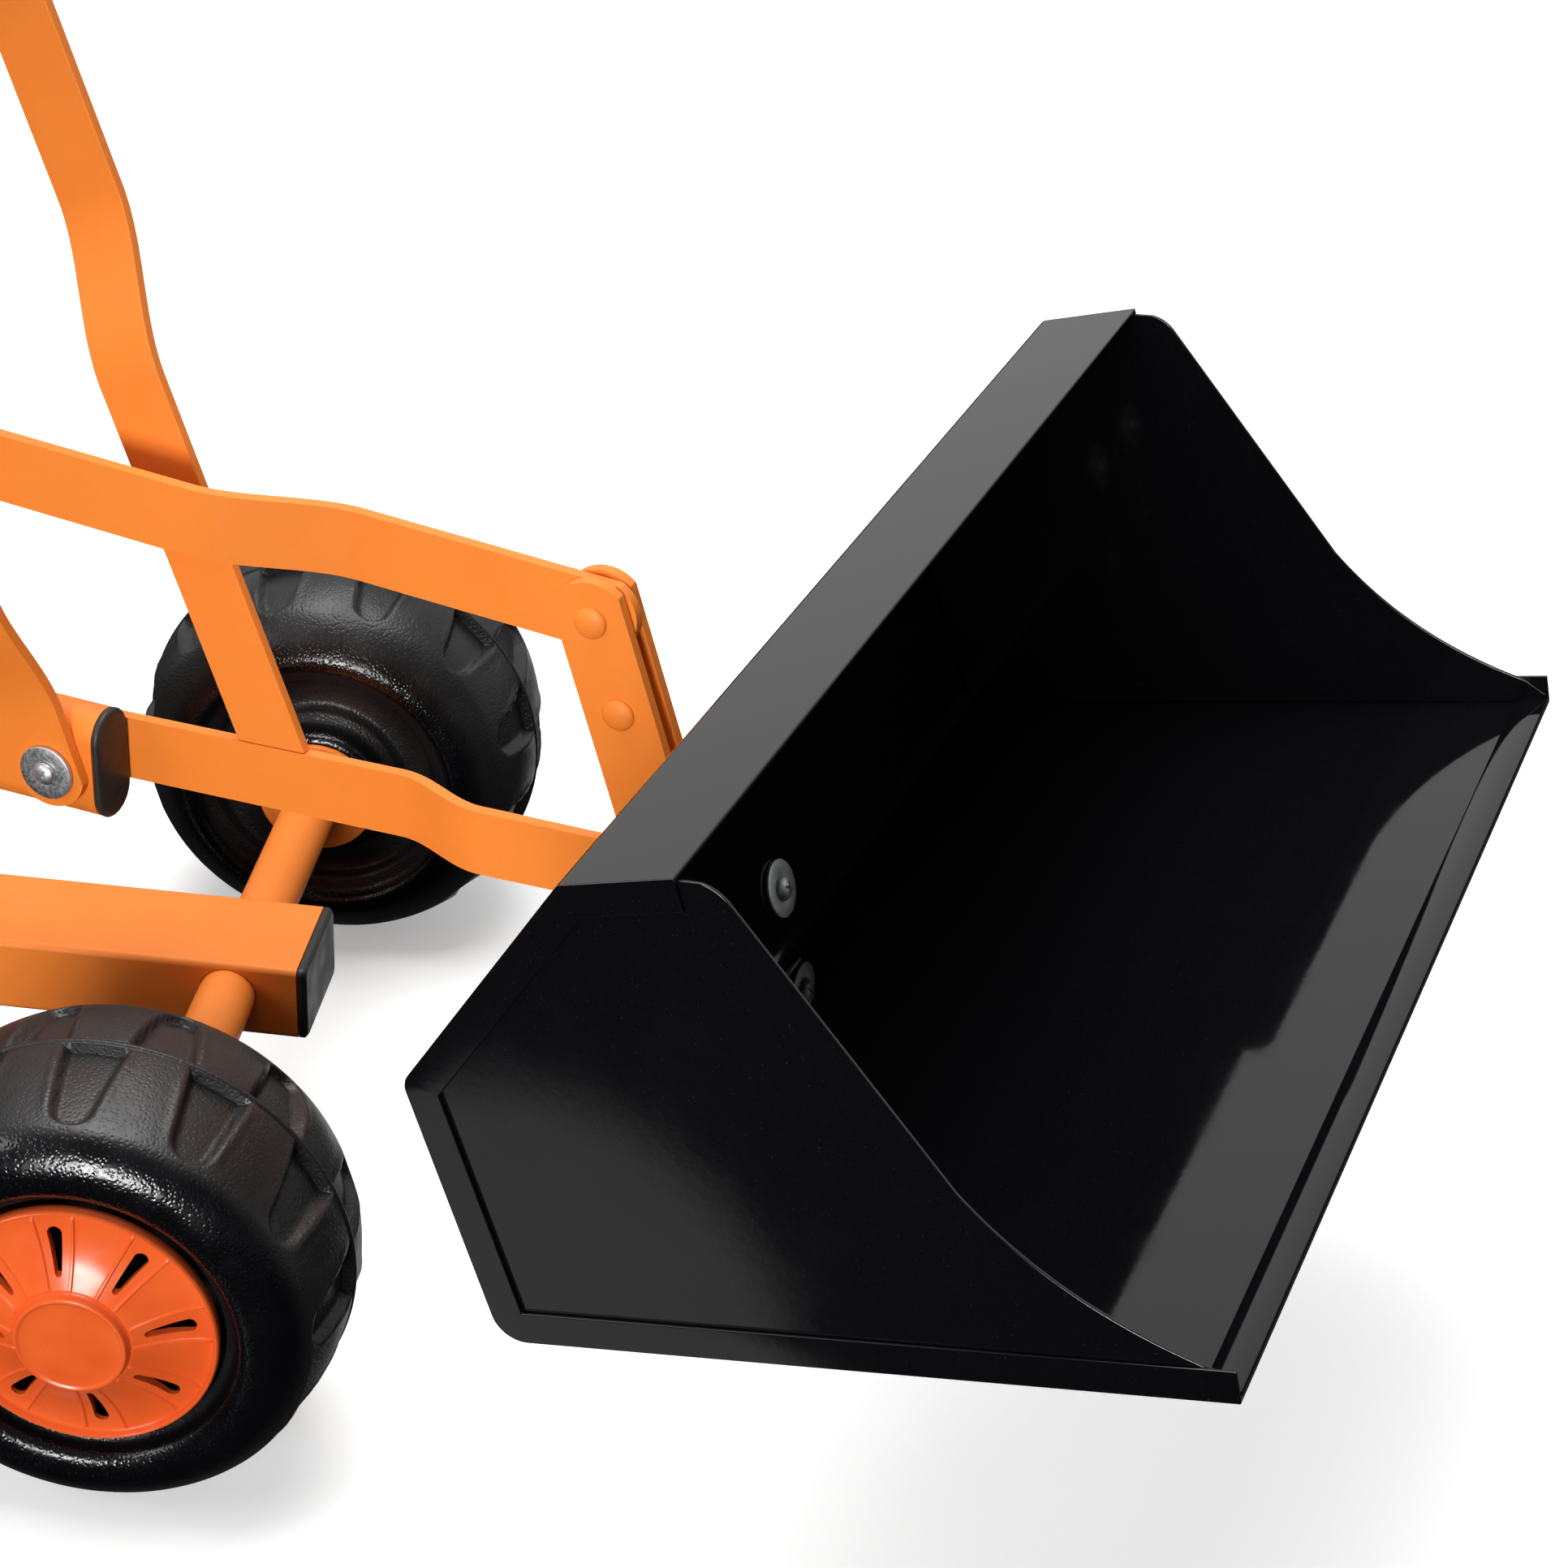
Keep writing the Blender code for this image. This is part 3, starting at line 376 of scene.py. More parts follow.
def smooth_step(value, low, high):
    t = min(1.0, max(0.0, (value - low) / (high - low)))
    return t * t * (3 - 2 * t)


def crown(h):
    """Tread radius; the inboard half is narrower and rounder than the outboard half."""
    return 99.4 - (7.4 * (h / 48.0) ** 2 if h > 0 else 8.4 * (-h / 38.0) ** 2.6)


def tyre_outline():
    """(radius, distance outboard) round the tyre; the tread rows are marked True."""
    outside = [(52, 24), (56, 28), (57.5, 44), (58.6, 49.2), (61.2, 49.6), (62.8, 50.4), (63.6, 52.4), (64.2, 55.0),
               (65.2, 57.2), (67.2, 58.8), (70.0, 59.6), (73, 59.8), (76.5, 59.5), (80, 58.4), (83.8, 56.4),
               (87, 53.8), (89.6, 51), (91.4, 48.6)]
    rows = [(r, h, False) for r, h in outside]
    heights = [47, 46, 45, 44, 42.5, 41, 39, 37, 35, 33, 31, 29, 27, 25, 23, 21, 19, 17, 15, 13, 11, 9, 7, 5.2, 4,
               3.2, 2.6, 2.1]
    rows += [(crown(h), h, True) for h in heights]
    rows += [(99.2, 1.5, False), (99.3, 1.1, False), (99.85, 0.8, False), (100, 0.35, False), (100, -0.35, False),
             (99.85, -0.8, False), (99.3, -1.1, False), (99.2, -1.5, False)]
    rows += [(crown(-0.81 * h), -0.81 * h, True) for h in reversed(heights) if h > 2.5]
    hub = [(89.8, -39.8), (88.0, -42.0), (85.4, -44.8), (82.2, -47.6), (78.6, -50.2), (75, -52.4), (71.5, -54),
           (68.4, -54.6), (66.2, -54), (64.8, -52.4), (63.6, -50), (61.5, -48.6), (58, -48), (56, -46.4),
           (55.2, -43.6), (53.4, -42.4), (48, -41.6), (42.5, -41), (40, -41.8), (38.8, -44.4), (37.6, -46),
           (34.5, -46.6), (33.2, -48.4), (32.6, -54), (31.8, -57.6), (29.8, -59.2), (26, -59.6), (20, -59.4),
           (9, -59), (7, -58), (6.4, -56), (6.4, 20), (12, 22), (46, 22)]
    return rows + [(r, h, False) for r, h in hub]


def pocket_depth(h, turn):
    """How far into the pocket a tread point lies, from 0 on a block to 1 on the floor."""
    pitch = 360.0 / POCKETS
    shift = POCKET_PHASE + (0.0 if h > 0 else pitch / 2)
    off = abs((turn - shift + pitch / 2) % pitch - pitch / 2)
    reach = abs(h)
    shoulder = 37.5 if h > 0 else 29.5
    if reach < shoulder:
        edge = off - (7.3 - 2.6 * reach / shoulder)
    else:
        edge = math.hypot(off, (reach - shoulder) * 4.7 / 7.0) - 4.7
    return 1 - smooth_step(edge, -WALL * 0.6, WALL * 0.8), edge


def tyre(side):
    made = bmesh.new()
    outline = tyre_outline()
    count = POCKETS * COLUMNS
    rings = []
    for r, h, tread in outline:
        ring = []
        for k in range(count):
            turn = 360.0 * k / count
            radius = r
            if tread:
                depth, edge = pocket_depth(h, turn)
                floor = r - (POCKET_DEPTH - 1.2 * (h / 48) ** 2)
                lip = 0.6 * math.exp(-((edge - WALL - 0.5) / 1.0) ** 2) * smooth_step(abs(h), 3.0, 12.0)
                fade = 34.0 if h > 0 else 20.0
                lip *= 1 - smooth_step(abs(h), fade, fade + 12.0)
                radius = r - depth * (r - floor) + min(lip, 99.95 - r) * (1 - depth)
            a = math.radians(turn)
            ring.append(made.verts.new((side * h, -radius * math.cos(a), radius * math.sin(a))))
        rings.append(ring)
    bridge(made, rings)
    return made


SLOTS = 8
SLOT_PHASE = 8.5
RIBS = (-9.6, 9.6)


def cap_columns(radius):
    """Angles of the hub cap's mesh columns at a radius: close together across each rib."""
    across = (-0.95, -0.6, -0.35, 0.35, 0.6, 0.95)
    reach = max(radius, 22.0)
    turns = []
    for k in range(SLOTS):
        base = SLOT_PHASE + 360.0 * k / SLOTS
        first, last = (base + RIBS[0] + 0.6 * (reach - 38) / 16, base + RIBS[1] - 0.6 * (reach - 38) / 16)
        step = [math.degrees(x / reach) for x in across]
        turns += [(first + x, i) for i, x in enumerate(step)]
        turns += [(first + step[-1] + (last + step[0] - first - step[-1]) * j / 6, -1) for j in range(1, 6)]
        turns += [(last + x, i) for i, x in enumerate(step)]
        following = first + 360.0 / SLOTS
        turns += [(last + step[-1] + (following + step[0] - last - step[-1]) * j / 8, -1) for j in range(1, 8)]
    return turns


def hub_cap(side):
    front = [(55.2, 49.6), (56.6, 50.2), (57.0, 51.4), (57.1, 54.4), (56.9, 55.6), (56.3, 56.2), (55.7, 56.2),
             (55.2, 55.6), (54.9, 54.4), (54.5, 53.7)]
    face = [(r, 53.3 + 9.4 * ((54.4 - r) / 29.0) ** 1.9)
            for r in (54.1, 53, 51, 49, 46, 43, 40, 37, 34, 31, 28.5, 26.5, 25.2, 24.6)]
    boss = [(23.9, 62.9), (23.4, 63.8), (23.1, 65.0), (23.0, 66.6), (22.7, 67.3), (22.1, 67.6), (21.4, 67.5),
            (20.9, 67.0), (20.3, 66.8), (16.0, 66.9), (0, 67.0)]
    back = [(0, 64.9), (20, 64.7), (22.4, 61.0), (26.5, 58.2), (31, 55.6), (37, 53.0), (44, 51.7), (52.5, 51.4),
            (53.9, 51.2), (54.2, 49.6)]
    made = bmesh.new()
    rings = []
    for r, h in front + face + boss + back:
        on_face = (r, h) in face[1:-1]
        ring = []
        for turn, place in cap_columns(r):
            raised = 0.95 if on_face and place in (2, 3) else 0.65 if on_face and place in (1, 4) else 0.0
            a = math.radians(turn)
            if r == 0 and ring:
                ring.append(ring[0])
            else:
                ring.append(made.verts.new((side * (h + raised), -r * math.cos(a), r * math.sin(a))))
        rings.append(ring)
    bridge(made, rings)
    return made


def slot_cutters(side):
    """Teardrop prisms, wide end outwards."""
    cutters = []
    for k in range(SLOTS):
        base = math.radians(SLOT_PHASE + 360.0 * k / SLOTS)
        outline = arc((45.6, 0), 3.1, -80, 80, 10) + arc((30.4, 0), 1.4, 100, 260, 6)
        rings = []
        for x in (48.0, 72.0):
            ring = []
            for a, b in outline:
                radial = a * math.cos(base) - b * math.sin(base)
                up = a * math.sin(base) + b * math.cos(base)
                ring.append((side * x, -radial, up))
            rings.append(ring)
        cutter = loft(rings)
        bmesh.ops.recalc_face_normals(cutter, faces=cutter.faces)
        cutters.append(cutter)
    return cutters


def build_wheels():
    for side, hand in ((1, "left"), (-1, "right")):
        first_tyre = first_cap = None
        for along, end in ((-1, "front"), (1, "rear")):
            label = "%s_%s" % (end, hand)
            centre = Vector((SLEW.x + side * WHEEL_X, SLEW.y + along * AXLE_Y, AXLE_Z))
            body = "wheel_%s_spinning" % label
            if first_tyre is None:
                first_tyre = piece("moulded_wheel_" + label, tyre(side), TYRE, body, ["wheel_" + label],
                                   smooth=60)
                first_cap = piece("spoked_cap_" + label, hub_cap(side), HUB, body, ["hub_cap_" + label],
                                  smooth=40)
                subtract(first_cap, slot_cutters(side))
                pair = (first_tyre, first_cap)
            else:
                pair = []
                for source, name, node in ((first_tyre, "moulded_wheel_", "wheel_"),
                                           (first_cap, "spoked_cap_", "hub_cap_")):
                    made = bpy.data.objects.new(name + label, source.data)
                    bpy.context.scene.collection.objects.link(made)
                    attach(made, body)
                    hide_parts(node + label)
                    pair.append(made)
            for made in pair:
                made.location = centre * MM


# ---------------------------------------------------------------- flat bars of the linkage

def joggle(first_q, last_q, start, end):
    """Sideways offset of a bar that steps over between two distances along it."""
    def offset(along):
        return first_q + (last_q - first_q) * smooth_step(along, start, end)
    offset.span = (start, end)
    return offset


def flat_bar(start, end, offset, start_r=17.0, end_r=17.0, skew=None, plain_end=False):
    """A flat bar between two (ahead, height) points, with a round eye past each pivot."""
    half = BAR_HALF
    first, last = Vector(start), Vector(end)
    length = (last - first).length
    ahead = (last - first) / length
    across = Vector((ahead.y, -ahead.x))

    def eye(radius):
        turns = [90 - k * 4 for k in range(0, 22)]
        points = [(radius * math.sin(math.radians(t)), radius * math.cos(math.radians(t))) for t in turns]
        points = [(a, max(w, 0.25)) for a, w in points if w < half]
        points.append((math.sqrt(max(0.0, radius ** 2 - half ** 2)), min(half, radius)))
        return points

    stations = [(0.0, half)] if skew is not None else [(-a, w) for a, w in eye(start_r)]
    low, high = offset.span
    stations.append((low - 6.0, half))
    stations += [(low + (high - low) * k / 24, half) for k in range(25)]
    stations.append((high + 6.0, half))
    stations += [(length, half)] if plain_end else [(length + a, w) for a, w in reversed(eye(end_r))]
    rings = []
    for along, wide in stations:
        slope = offset(along + 0.5) - offset(along - 0.5)
        reach = BAR_THICK / 2 * math.sqrt(1 + slope ** 2)
        ring = []
        for side, level in ((-1, -1), (1, -1), (1, 1), (-1, 1)):
            shift = skew * side * half if skew is not None and along == 0.0 else 0.0
            point = first + ahead * (along + shift) + across * side * wide
            ring.append((offset(along) + level * reach, -point.x, point.y))
        rings.append(ring)
    return loft(rings)


def cross_cut(point, radius, q_low, q_high):
    """A round cutter across the upper frame, for a bolt's hole."""
    made = lathe([(0, q_low), (radius, q_low), (radius, q_high), (0, q_high)], (0, -point[0], point[1]), "X", 32)
    made.transform(UPPER)
    bmesh.ops.recalc_face_normals(made, faces=made.faces)
    return made


def upper_piece(name, mesh_mm, paint, body, replaced=(), smooth=35.0):
    return piece(name, mesh_mm, paint, body, replaced, UPPER, smooth)


def build_bars():
    side_q = TUBE_WIDTH / 2 + CLEARANCE + BAR_THICK / 2
    arm = upper_piece("arm_bar", flat_bar(PIVOT_A, PIVOT_B, joggle(side_q, 0.0, 152, 196), 15.5, 14.4),
                      PAINT, "boom", ["lower_arm"])
    subtract(arm, [cross_cut(PIVOT_A, 3.1, 8, 26), cross_cut(PIVOT_B, 3.1, -8, 8)])
    soften(arm)
    rise = (PIVOT_B[1] - PIVOT_A[1]) / (PIVOT_B[0] - PIVOT_A[0])
    foot = (LEFT_FOOT, PIVOT_A[1] + rise * (LEFT_FOOT - PIVOT_A[0]) + BAR_HALF * math.sqrt(1 + rise ** 2) + CLEARANCE)
    lean = math.radians(LEFT_LEAN)
    reach = (LEFT_TOP - foot[1]) / math.sin(lean)
    left_top = (foot[0] + reach * math.cos(lean), LEFT_TOP)
    left = flat_bar(foot, left_top, joggle(side_q, LEFT_LEVER_Q, 166, 240), skew=-0.337, plain_end=True)
    soften(upper_piece("left_lever_bar", left, PAINT, "boom", ["left_lever"]))
    ahead = (Vector(PIVOT_D) - Vector(PIVOT_A)).normalized()
    right_top = Vector(PIVOT_A) + ahead * (RIGHT_TOP - PIVOT_A[1]) / ahead.y
    right = flat_bar(PIVOT_A, right_top, joggle(-side_q, RIGHT_LEVER_Q, 26, 88), plain_end=True)
    right = upper_piece("right_lever_bar", right, PAINT, "tilt_lever", ["right_lever"])
    subtract(right, [cross_cut(PIVOT_A, 3.1, -26, -8), cross_cut(PIVOT_D, 4.3, -40, -22)])
    soften(right)
    link = upper_piece("tilt_rod_bar", flat_bar(PIVOT_D, PIVOT_C, joggle(ROD_Q, 0.0, 122, 190)),
                       PAINT, "tilt_link", ["tilt_rod"])
    along = (Vector(PIVOT_C) - Vector(PIVOT_D)).normalized()
    across = Vector((along.y, -along.x))
    outline = []        # the slotted eye, in which the rivet travels as the lever swings
    for side, stretch in ((1, 1.9), (-1, 6.8)):
        for x, y in arc((0, 0), 4.2, -90, 90, 12):
            spot = Vector(PIVOT_C) + (along * (stretch + x) + across * y) * side
            outline.append((spot.x, spot.y))
    slot = loft([[(q, -f, z) for f, z in outline] for q in (-8, 8)])
    slot.transform(UPPER)
    bmesh.ops.recalc_face_normals(slot, faces=slot.faces)
    subtract(link, [cross_cut(PIVOT_D, 4.1, -28, -10), slot])
    soften(link)
    step = Vector(PIVOT_C) + (Vector(PIVOT_B) - Vector(PIVOT_C)).normalized() * 40.0
    for side, label in ((1, "left"), (-1, "right")):
        q = side * EAR_Q
        ear = upper_piece("ear_bar_" + label, flat_bar(PIVOT_B, PIVOT_C, joggle(q, q, 40, 80), 15.2, 17.0),
                          PAINT, "bucket", ["ear_" + label])
        subtract(ear, [cross_cut(point, BOLT_HOLE, q - 6, q + 6) for point in (PIVOT_B, PIVOT_C, tuple(step))])
        soften(ear, 0.5)
    outer = EAR_Q + BAR_THICK / 2 + CLEARANCE
    for name, point in (("top_rivet", PIVOT_C), ("lower_rivet", tuple(step))):
        dome = [(r, outer + 2.6 * math.sqrt(max(0.0, 1 - (r / 6.9) ** 2))) for r in (0, 1.5, 3, 4.4, 5.5, 6.3, 6.7)]
        half = [(6.8, outer), (3.0, outer)]
        profile = dome + half + [(r, -s) for r, s in reversed(half)] + [(r, -s) for r, s in reversed(dome)]
        upper_piece(name + "_head", lathe(profile, (0, -point[0], point[1]), "X", 48), PAINT, "bucket", [name], 40)
    grip("left", foot, left_top, LEFT_LEVER_Q, "boom")
    grip("right", PIVOT_A, right_top, RIGHT_LEVER_Q, "tilt_lever")


def grip(hand, start, top, q, body):
    """A soft ribbed sleeve over the top of a lever."""
    ahead = (Vector(top) - Vector(start)).normalized()
    across = Vector((ahead.y, -ahead.x))

    def ring(half_wide, half_thick, corner, along):
        points = []
        for x, y in rounded_section(half_wide, half_thick, corner, 7):
            spot = Vector(top) + across * x + ahead * along
            points.append((q + y, -spot.x, spot.y))
        return points

    base, pitch = -104.0, 6.6       # open end below the lever's top, and the spacing of the ribs
    rings = [ring(15.3, 2.8, 0.5, 0.3), ring(15.3, 2.8, 0.5, base), ring(18.0, 7.0, 5.0, base),
             ring(20.0, 9.0, 7.0, base + 1.5), ring(20.4, 9.4, 7.0, base + 4), ring(20.0, 9.0, 7.0, base + 6.5)]
    along = base + 8
    while along < -8:
        for lift, step in ((0.0, 0.0), (0.0, 2.0), (0.9, 2.8), (0.9, 4.6), (0.0, 5.4)):
            rings.append(ring(18.6 + lift, 7.6 + lift, 6.8, along + step))
        along += pitch
    rings += [ring(19.2, 8.2, 7.2, -4.0), ring(19.2, 8.2, 7.2, 1.0), ring(18.4, 7.4, 6.9, 4.5),
              ring(16.6, 5.8, 5.4, 6.8), ring(14.0, 3.8, 3.5, 7.9)]
    upper_piece(hand + "_grip_sleeve", loft(rings), RUBBER, body, [hand + "_grip"], 50)


# ---------------------------------------------------------------- bucket

def sheet_lines(inset):
    """Bends of the folded sheet, from the top edge to the lip, at a depth inside its outer face."""
    corners = [Vector(p) for p in (TOP_EDGE, TOP_CORNER, BACK, HEEL, LIP)]
    steps = 14
    lines = []
    for i, corner in enumerate(corners):
        if i not in BEND_RADII:
            other = corners[1] if i == 0 else corners[i - 1]
            run = (corner - other).normalized() * (-1 if i == 0 else 1)
            lines.append(corner + Vector((-run.y, run.x)) * inset)
            continue
        before, after = (corner - corners[i - 1]).normalized(), (corners[i + 1] - corner).normalized()
        turn = before.angle(after)
        n_before, n_after = Vector((-before.y, before.x)), Vector((-after.y, after.x))
        middle = (n_before + n_after).normalized() / math.cos(turn / 2)
        for k in range(steps + 1):
            if inset >= BEND_RADII[i]:
                lines.append(corner + middle * inset)
                continue
            direction = n_before.copy()
            direction.rotate(Matrix.Rotation(turn * k / steps, 2))
            lines.append(corner + middle * BEND_RADII[i] - direction * (BEND_RADII[i] - inset))
    return lines


def side_plate(outline, q_low, q_high):
    return loft([[(q, -f, z) for f, z in outline] for q in (q_low, q_high)])


def build_bucket():
    outer, skin, flange = sheet_lines(0.0), sheet_lines(SHEET), sheet_lines(FOLD)
    wide, step = BUCKET_HALF_WIDTH, BUCKET_HALF_WIDTH - SHEET
    rings = []
    for o, s, e in zip(outer, skin, flange):
        ring = [(o, -wide), (o, wide), (e, wide), (e, step), (s, step), (s, -step), (e, -step), (e, -wide)]
        rings.append([(q, -p.x, p.y) for p, q in ring])
    sheet = upper_piece("folded_sheet", loft(rings), GLOSS, "bucket", ["bucket_sheet"])
    soften(sheet, 0.45)
    back = (Vector(BACK) - Vector(HEEL)).normalized()
    run = (Vector(LIP) - Vector(HEEL)).normalized()
    up = Vector((-run.y, run.x))
    corner = Vector(LIP)
    hem = [corner + up * (SHEET + 0.02), corner + up * (SHEET + 1.25) - run * 0.5,
           corner + up * (SHEET + 1.45) - run * 1.3, corner + up * (SHEET + 1.45) - run * 12.9,
           corner + up * (SHEET + 1.2) - run * 13.5, corner + up * (SHEET + 0.02) - run * HEM]
    inner = BUCKET_HALF_WIDTH - 2 * SHEET - CLEARANCE - 0.2
    upper_piece("lip_hem", side_plate([(p.x, p.y) for p in hem], -inner, inner), GLOSS, "bucket", smooth=50)
    inside = sheet_lines(SHEET + CLEARANCE)
    slope_end, control, curve_end = Vector((657, 321.5)), Vector((694, 289.0)), Vector((746.0, 280.6))
    curve = [slope_end * (1 - t) ** 2 + control * 2 * t * (1 - t) + curve_end * t ** 2
             for t in (k / 24 for k in range(25))]
    tip = corner - run
    outline = [(p.x, p.y) for p in inside[:-1]]
    nose, crest = tip + up * (SHEET + CLEARANCE), tip + up * (SHEET + 3.5)
    outline += [(nose.x, nose.y), (crest.x, crest.y)] + [(p.x, p.y) for p in reversed(curve)]
    outline += list(reversed(arc((564, 397.5), 16.0, 84, 40, 12)))
    edge = BUCKET_HALF_WIDTH - SHEET - CLEARANCE
    for side, label in ((1, "left"), (-1, "right")):
        low, high = sorted((side * edge, side * (edge - SHEET)))
        made = upper_piece("side_sheet_" + label, side_plate(outline, low, high), GLOSS, "bucket",
                           ["bucket_side_" + label], 12)
        soften(made, 0.4)
    spot = Vector(HEEL) + back * 25.5
    for side, label in ((1, "left"), (-1, "right")):
        panel = panel_matrix(spot, side * 28.0)
        inner_face = -SHEET - CLEARANCE
        ring = bevel_profile([(BOLT_HOLE, inner_face - 1.6), (12.2, inner_face - 1.6), (12.2, inner_face),
                              (BOLT_HOLE, inner_face)], 0.35)
        upper_piece("plain_washer_" + label, turned(lathe(ring, axis="Y", segments=64), panel), ZINC, "bucket",
                    ["bucket_washer_" + label])
        screw = cross_screw(5.4, 3.2, 3.0, 13.0)
        spin = Matrix.Rotation(math.radians(35 * side), 4, "Y")
        place = panel @ Matrix.Translation((0, inner_face - 1.9, 0)) @ spin
        made = upper_piece("panel_screw_" + label, turned(screw, place), ZINC, "bucket", ["bucket_screw_" + label])
        cut_cross(made, UPPER @ place, 3.2)
        nut = hex_ring(10.0, BOLT_HOLE, 2 * CLEARANCE + 3.0, 2 * CLEARANCE + 9.0)
        upper_piece("panel_nut_" + label, turned(nut, panel), ZINC, "bucket", ["bucket_nut_" + label])


def panel_matrix(spot, q):
    """Frame on the lower back panel: local +Y points out of the rear of the bucket."""
    back = (Vector(BACK) - Vector(HEEL)).normalized()
    turned_axes = Matrix((Vector((1, 0, 0)), Vector((0, back.y, back.x)), Vector((0, -back.x, back.y))))
    return Matrix.Translation(Vector((q, -spot.x, spot.y))) @ turned_axes.transposed().to_4x4()


def turned(mesh_mm, matrix):
    mesh_mm.transform(matrix)
    return mesh_mm


def cross_screw(head_r, head_high, shank_r, length):
    """A domed head below zero on -Y and a shank along +Y."""
    dome = [(head_r * math.sin(math.radians(a)), -head_high * math.cos(math.radians(a)))
            for a in (0, 14, 28, 42, 56, 70, 82)]
    return lathe(dome + [(head_r, 0), (shank_r, 0), (shank_r, length), (0, length)], axis="Y", segments=48)


def cut_cross(made, matrix, head_high):
    """A cross recess in a domed head."""
    cutters = []
    for turn in (0, 90):
        taper = [(1.0, -head_high - 1), (1.0, -head_high + 0.4), (0.45, -head_high + 2.2)]
        rings = []
        for scale, y in taper:
            half_long, half_wide = 3.0 * (0.6 + 0.4 * scale), 0.62 * scale
            rings.append([(-half_long, y, -half_wide), (half_long, y, -half_wide), (half_long, y, half_wide),
                          (-half_long, y, half_wide)])
        cutter = loft(rings)
        cutter.transform(matrix @ Matrix.Rotation(math.radians(turn), 4, "Y"))
        bmesh.ops.recalc_face_normals(cutter, faces=cutter.faces)
        cutters.append(cutter)
    subtract(made, cutters)


def hex_ring(across_flats, bore, low, high):
    """A chamfered hexagon nut round the Y axis."""
    count = 48
    rings = []
    for kind, y in (("bore", low), ("mid", low), ("hex", low + 0.7),
                    ("hex", high - 0.7), ("mid", high), ("bore", high)):
        ring = []
        for k in range(count):
            turn = math.tau * k / count
            flat = across_flats / 2 / math.cos((turn + math.pi / 6) % (math.pi / 3) - math.pi / 6)
            radius = {"bore": bore, "hex": flat, "mid": across_flats / 2 * 0.97}[kind]
            ring.append((radius * math.cos(turn), y, radius * math.sin(turn)))
        rings.append(ring)
    return loft(rings, closed=True)


# ---------------------------------------------------------------- tubes, fasteners and frame

def tube_section(inset):
    half_x, half_z = TUBE_WIDTH / 2 - inset, TUBE_HEIGHT / 2 - inset
    return [(x, z + TUBE_Z) for x, z in rounded_section(half_x, half_z, half_x - 0.01, 14)]


def build_upper_frame():
    outer, inner = tube_section(0.0), tube_section(2.0)
    rings = [[(x, y, z) for x, z in section] for section, y in
             ((outer, -TUBE_FRONT), (outer, -TUBE_REAR), (inner, -TUBE_REAR), (inner, -TUBE_FRONT))]
    tube = upper_piece("slewing_tube", loft(rings, closed=True), PAINT, "upper_frame", ["oval_tube"], 40)
    slew_hole = lathe([(0, 150), (6.3, 150), (6.3, 300), (0, 300)], axis="Z", segments=32)
    slew_hole.transform(UPPER)
    bmesh.ops.recalc_face_normals(slew_hole, faces=slew_hole.faces)
    subtract(tube, [cross_cut(PIVOT_A, BOLT_HOLE, -30, 30), slew_hole])
    for front, label, face in ((-1, "front", TUBE_FRONT), (1, "rear", -TUBE_REAR)):
        rings = []
        for inset, out in ((0.3, 0.3), (0.0, 0.6), (-0.2, 1.4), (-0.2, 2.2), (0.25, 2.9), (1.0, 3.4), (2.2, 3.6)):
            rings.append([(x, front * (face + out), z) for x, z in tube_section(inset)])
        upper_piece("oval_plug_" + label, loft(rings), CAP, "upper_frame", ["tube_cap_" + label], 50)
    near = -(TUBE_WIDTH / 2 + BAR_THICK + 2 * CLEARANCE)
    centre = (0, -PIVOT_A[0], PIVOT_A[1])
    washer = bevel_profile([(BOLT_HOLE, near - 2), (12.5, near - 2), (12.5, near), (BOLT_HOLE, near)], 0.4)
    upper_piece("wide_washer", lathe(washer, centre, "X", 72), ZINC, "upper_frame", ["pivot_washer"])
    to_side = Matrix.Translation(centre) @ Matrix.Rotation(math.radians(-90), 4, "Z")
    head = Matrix.Translation((0, near - 2.3, 0))
    seat_on = to_side @ head @ Matrix.Rotation(math.radians(25), 4, "Y")
    far = -near
    bolt = upper_piece("pivot_screw", turned(cross_screw(5.3, 3.0, 3.0, 2 * far + 11.8), seat_on), ZINC,
                       "upper_frame", ["pivot_bolt"])
    cut_cross(bolt, UPPER @ seat_on, 3.0)
    flange = bevel_profile([(BOLT_HOLE, far), (9, far), (9, far + 1.5), (BOLT_HOLE, far + 1.5)], 0.4)
    upper_piece("nut_flange", lathe(flange, centre, "X", 48), ZINC, "upper_frame")
    upper_piece("flanged_nut", turned(hex_ring(10.0, BOLT_HOLE, far + 1.5, far + 8), to_side), ZINC,
                "upper_frame", ["pivot_nut"])
    outer_ear = EAR_Q + BAR_THICK / 2 + CLEARANCE
    at_b = Matrix.Translation((0, -PIVOT_B[0], PIVOT_B[1])) @ Matrix.Rotation(math.radians(-90), 4, "Z")
    head = turned(cross_screw(5.5, 4.6, 3.0, 2 * outer_ear + 8), at_b @ Matrix.Translation((0, -outer_ear, 0)))
    upper_piece("ear_bolt", head, ZINC, "bucket", ["bucket_pivot_bolt"])
    upper_piece("ear_nut", turned(hex_ring(10.0, BOLT_HOLE, outer_ear, outer_ear + 6.5), at_b), ZINC, "bucket",
                ["bucket_pivot_nut"])
    plate_low, plate_high = POST_TOP + 3.6, TUBE_Z - TUBE_HEIGHT / 2 - CLEARANCE
    plate = bevel_profile([(42, plate_low), (42, plate_high), (6.3, plate_high), (6.3, plate_low)], 0.8)
    upper_piece("turntable_disc", lathe(plate, axis="Z", segments=96), PAINT, "upper_frame", ["turntable_plate"])


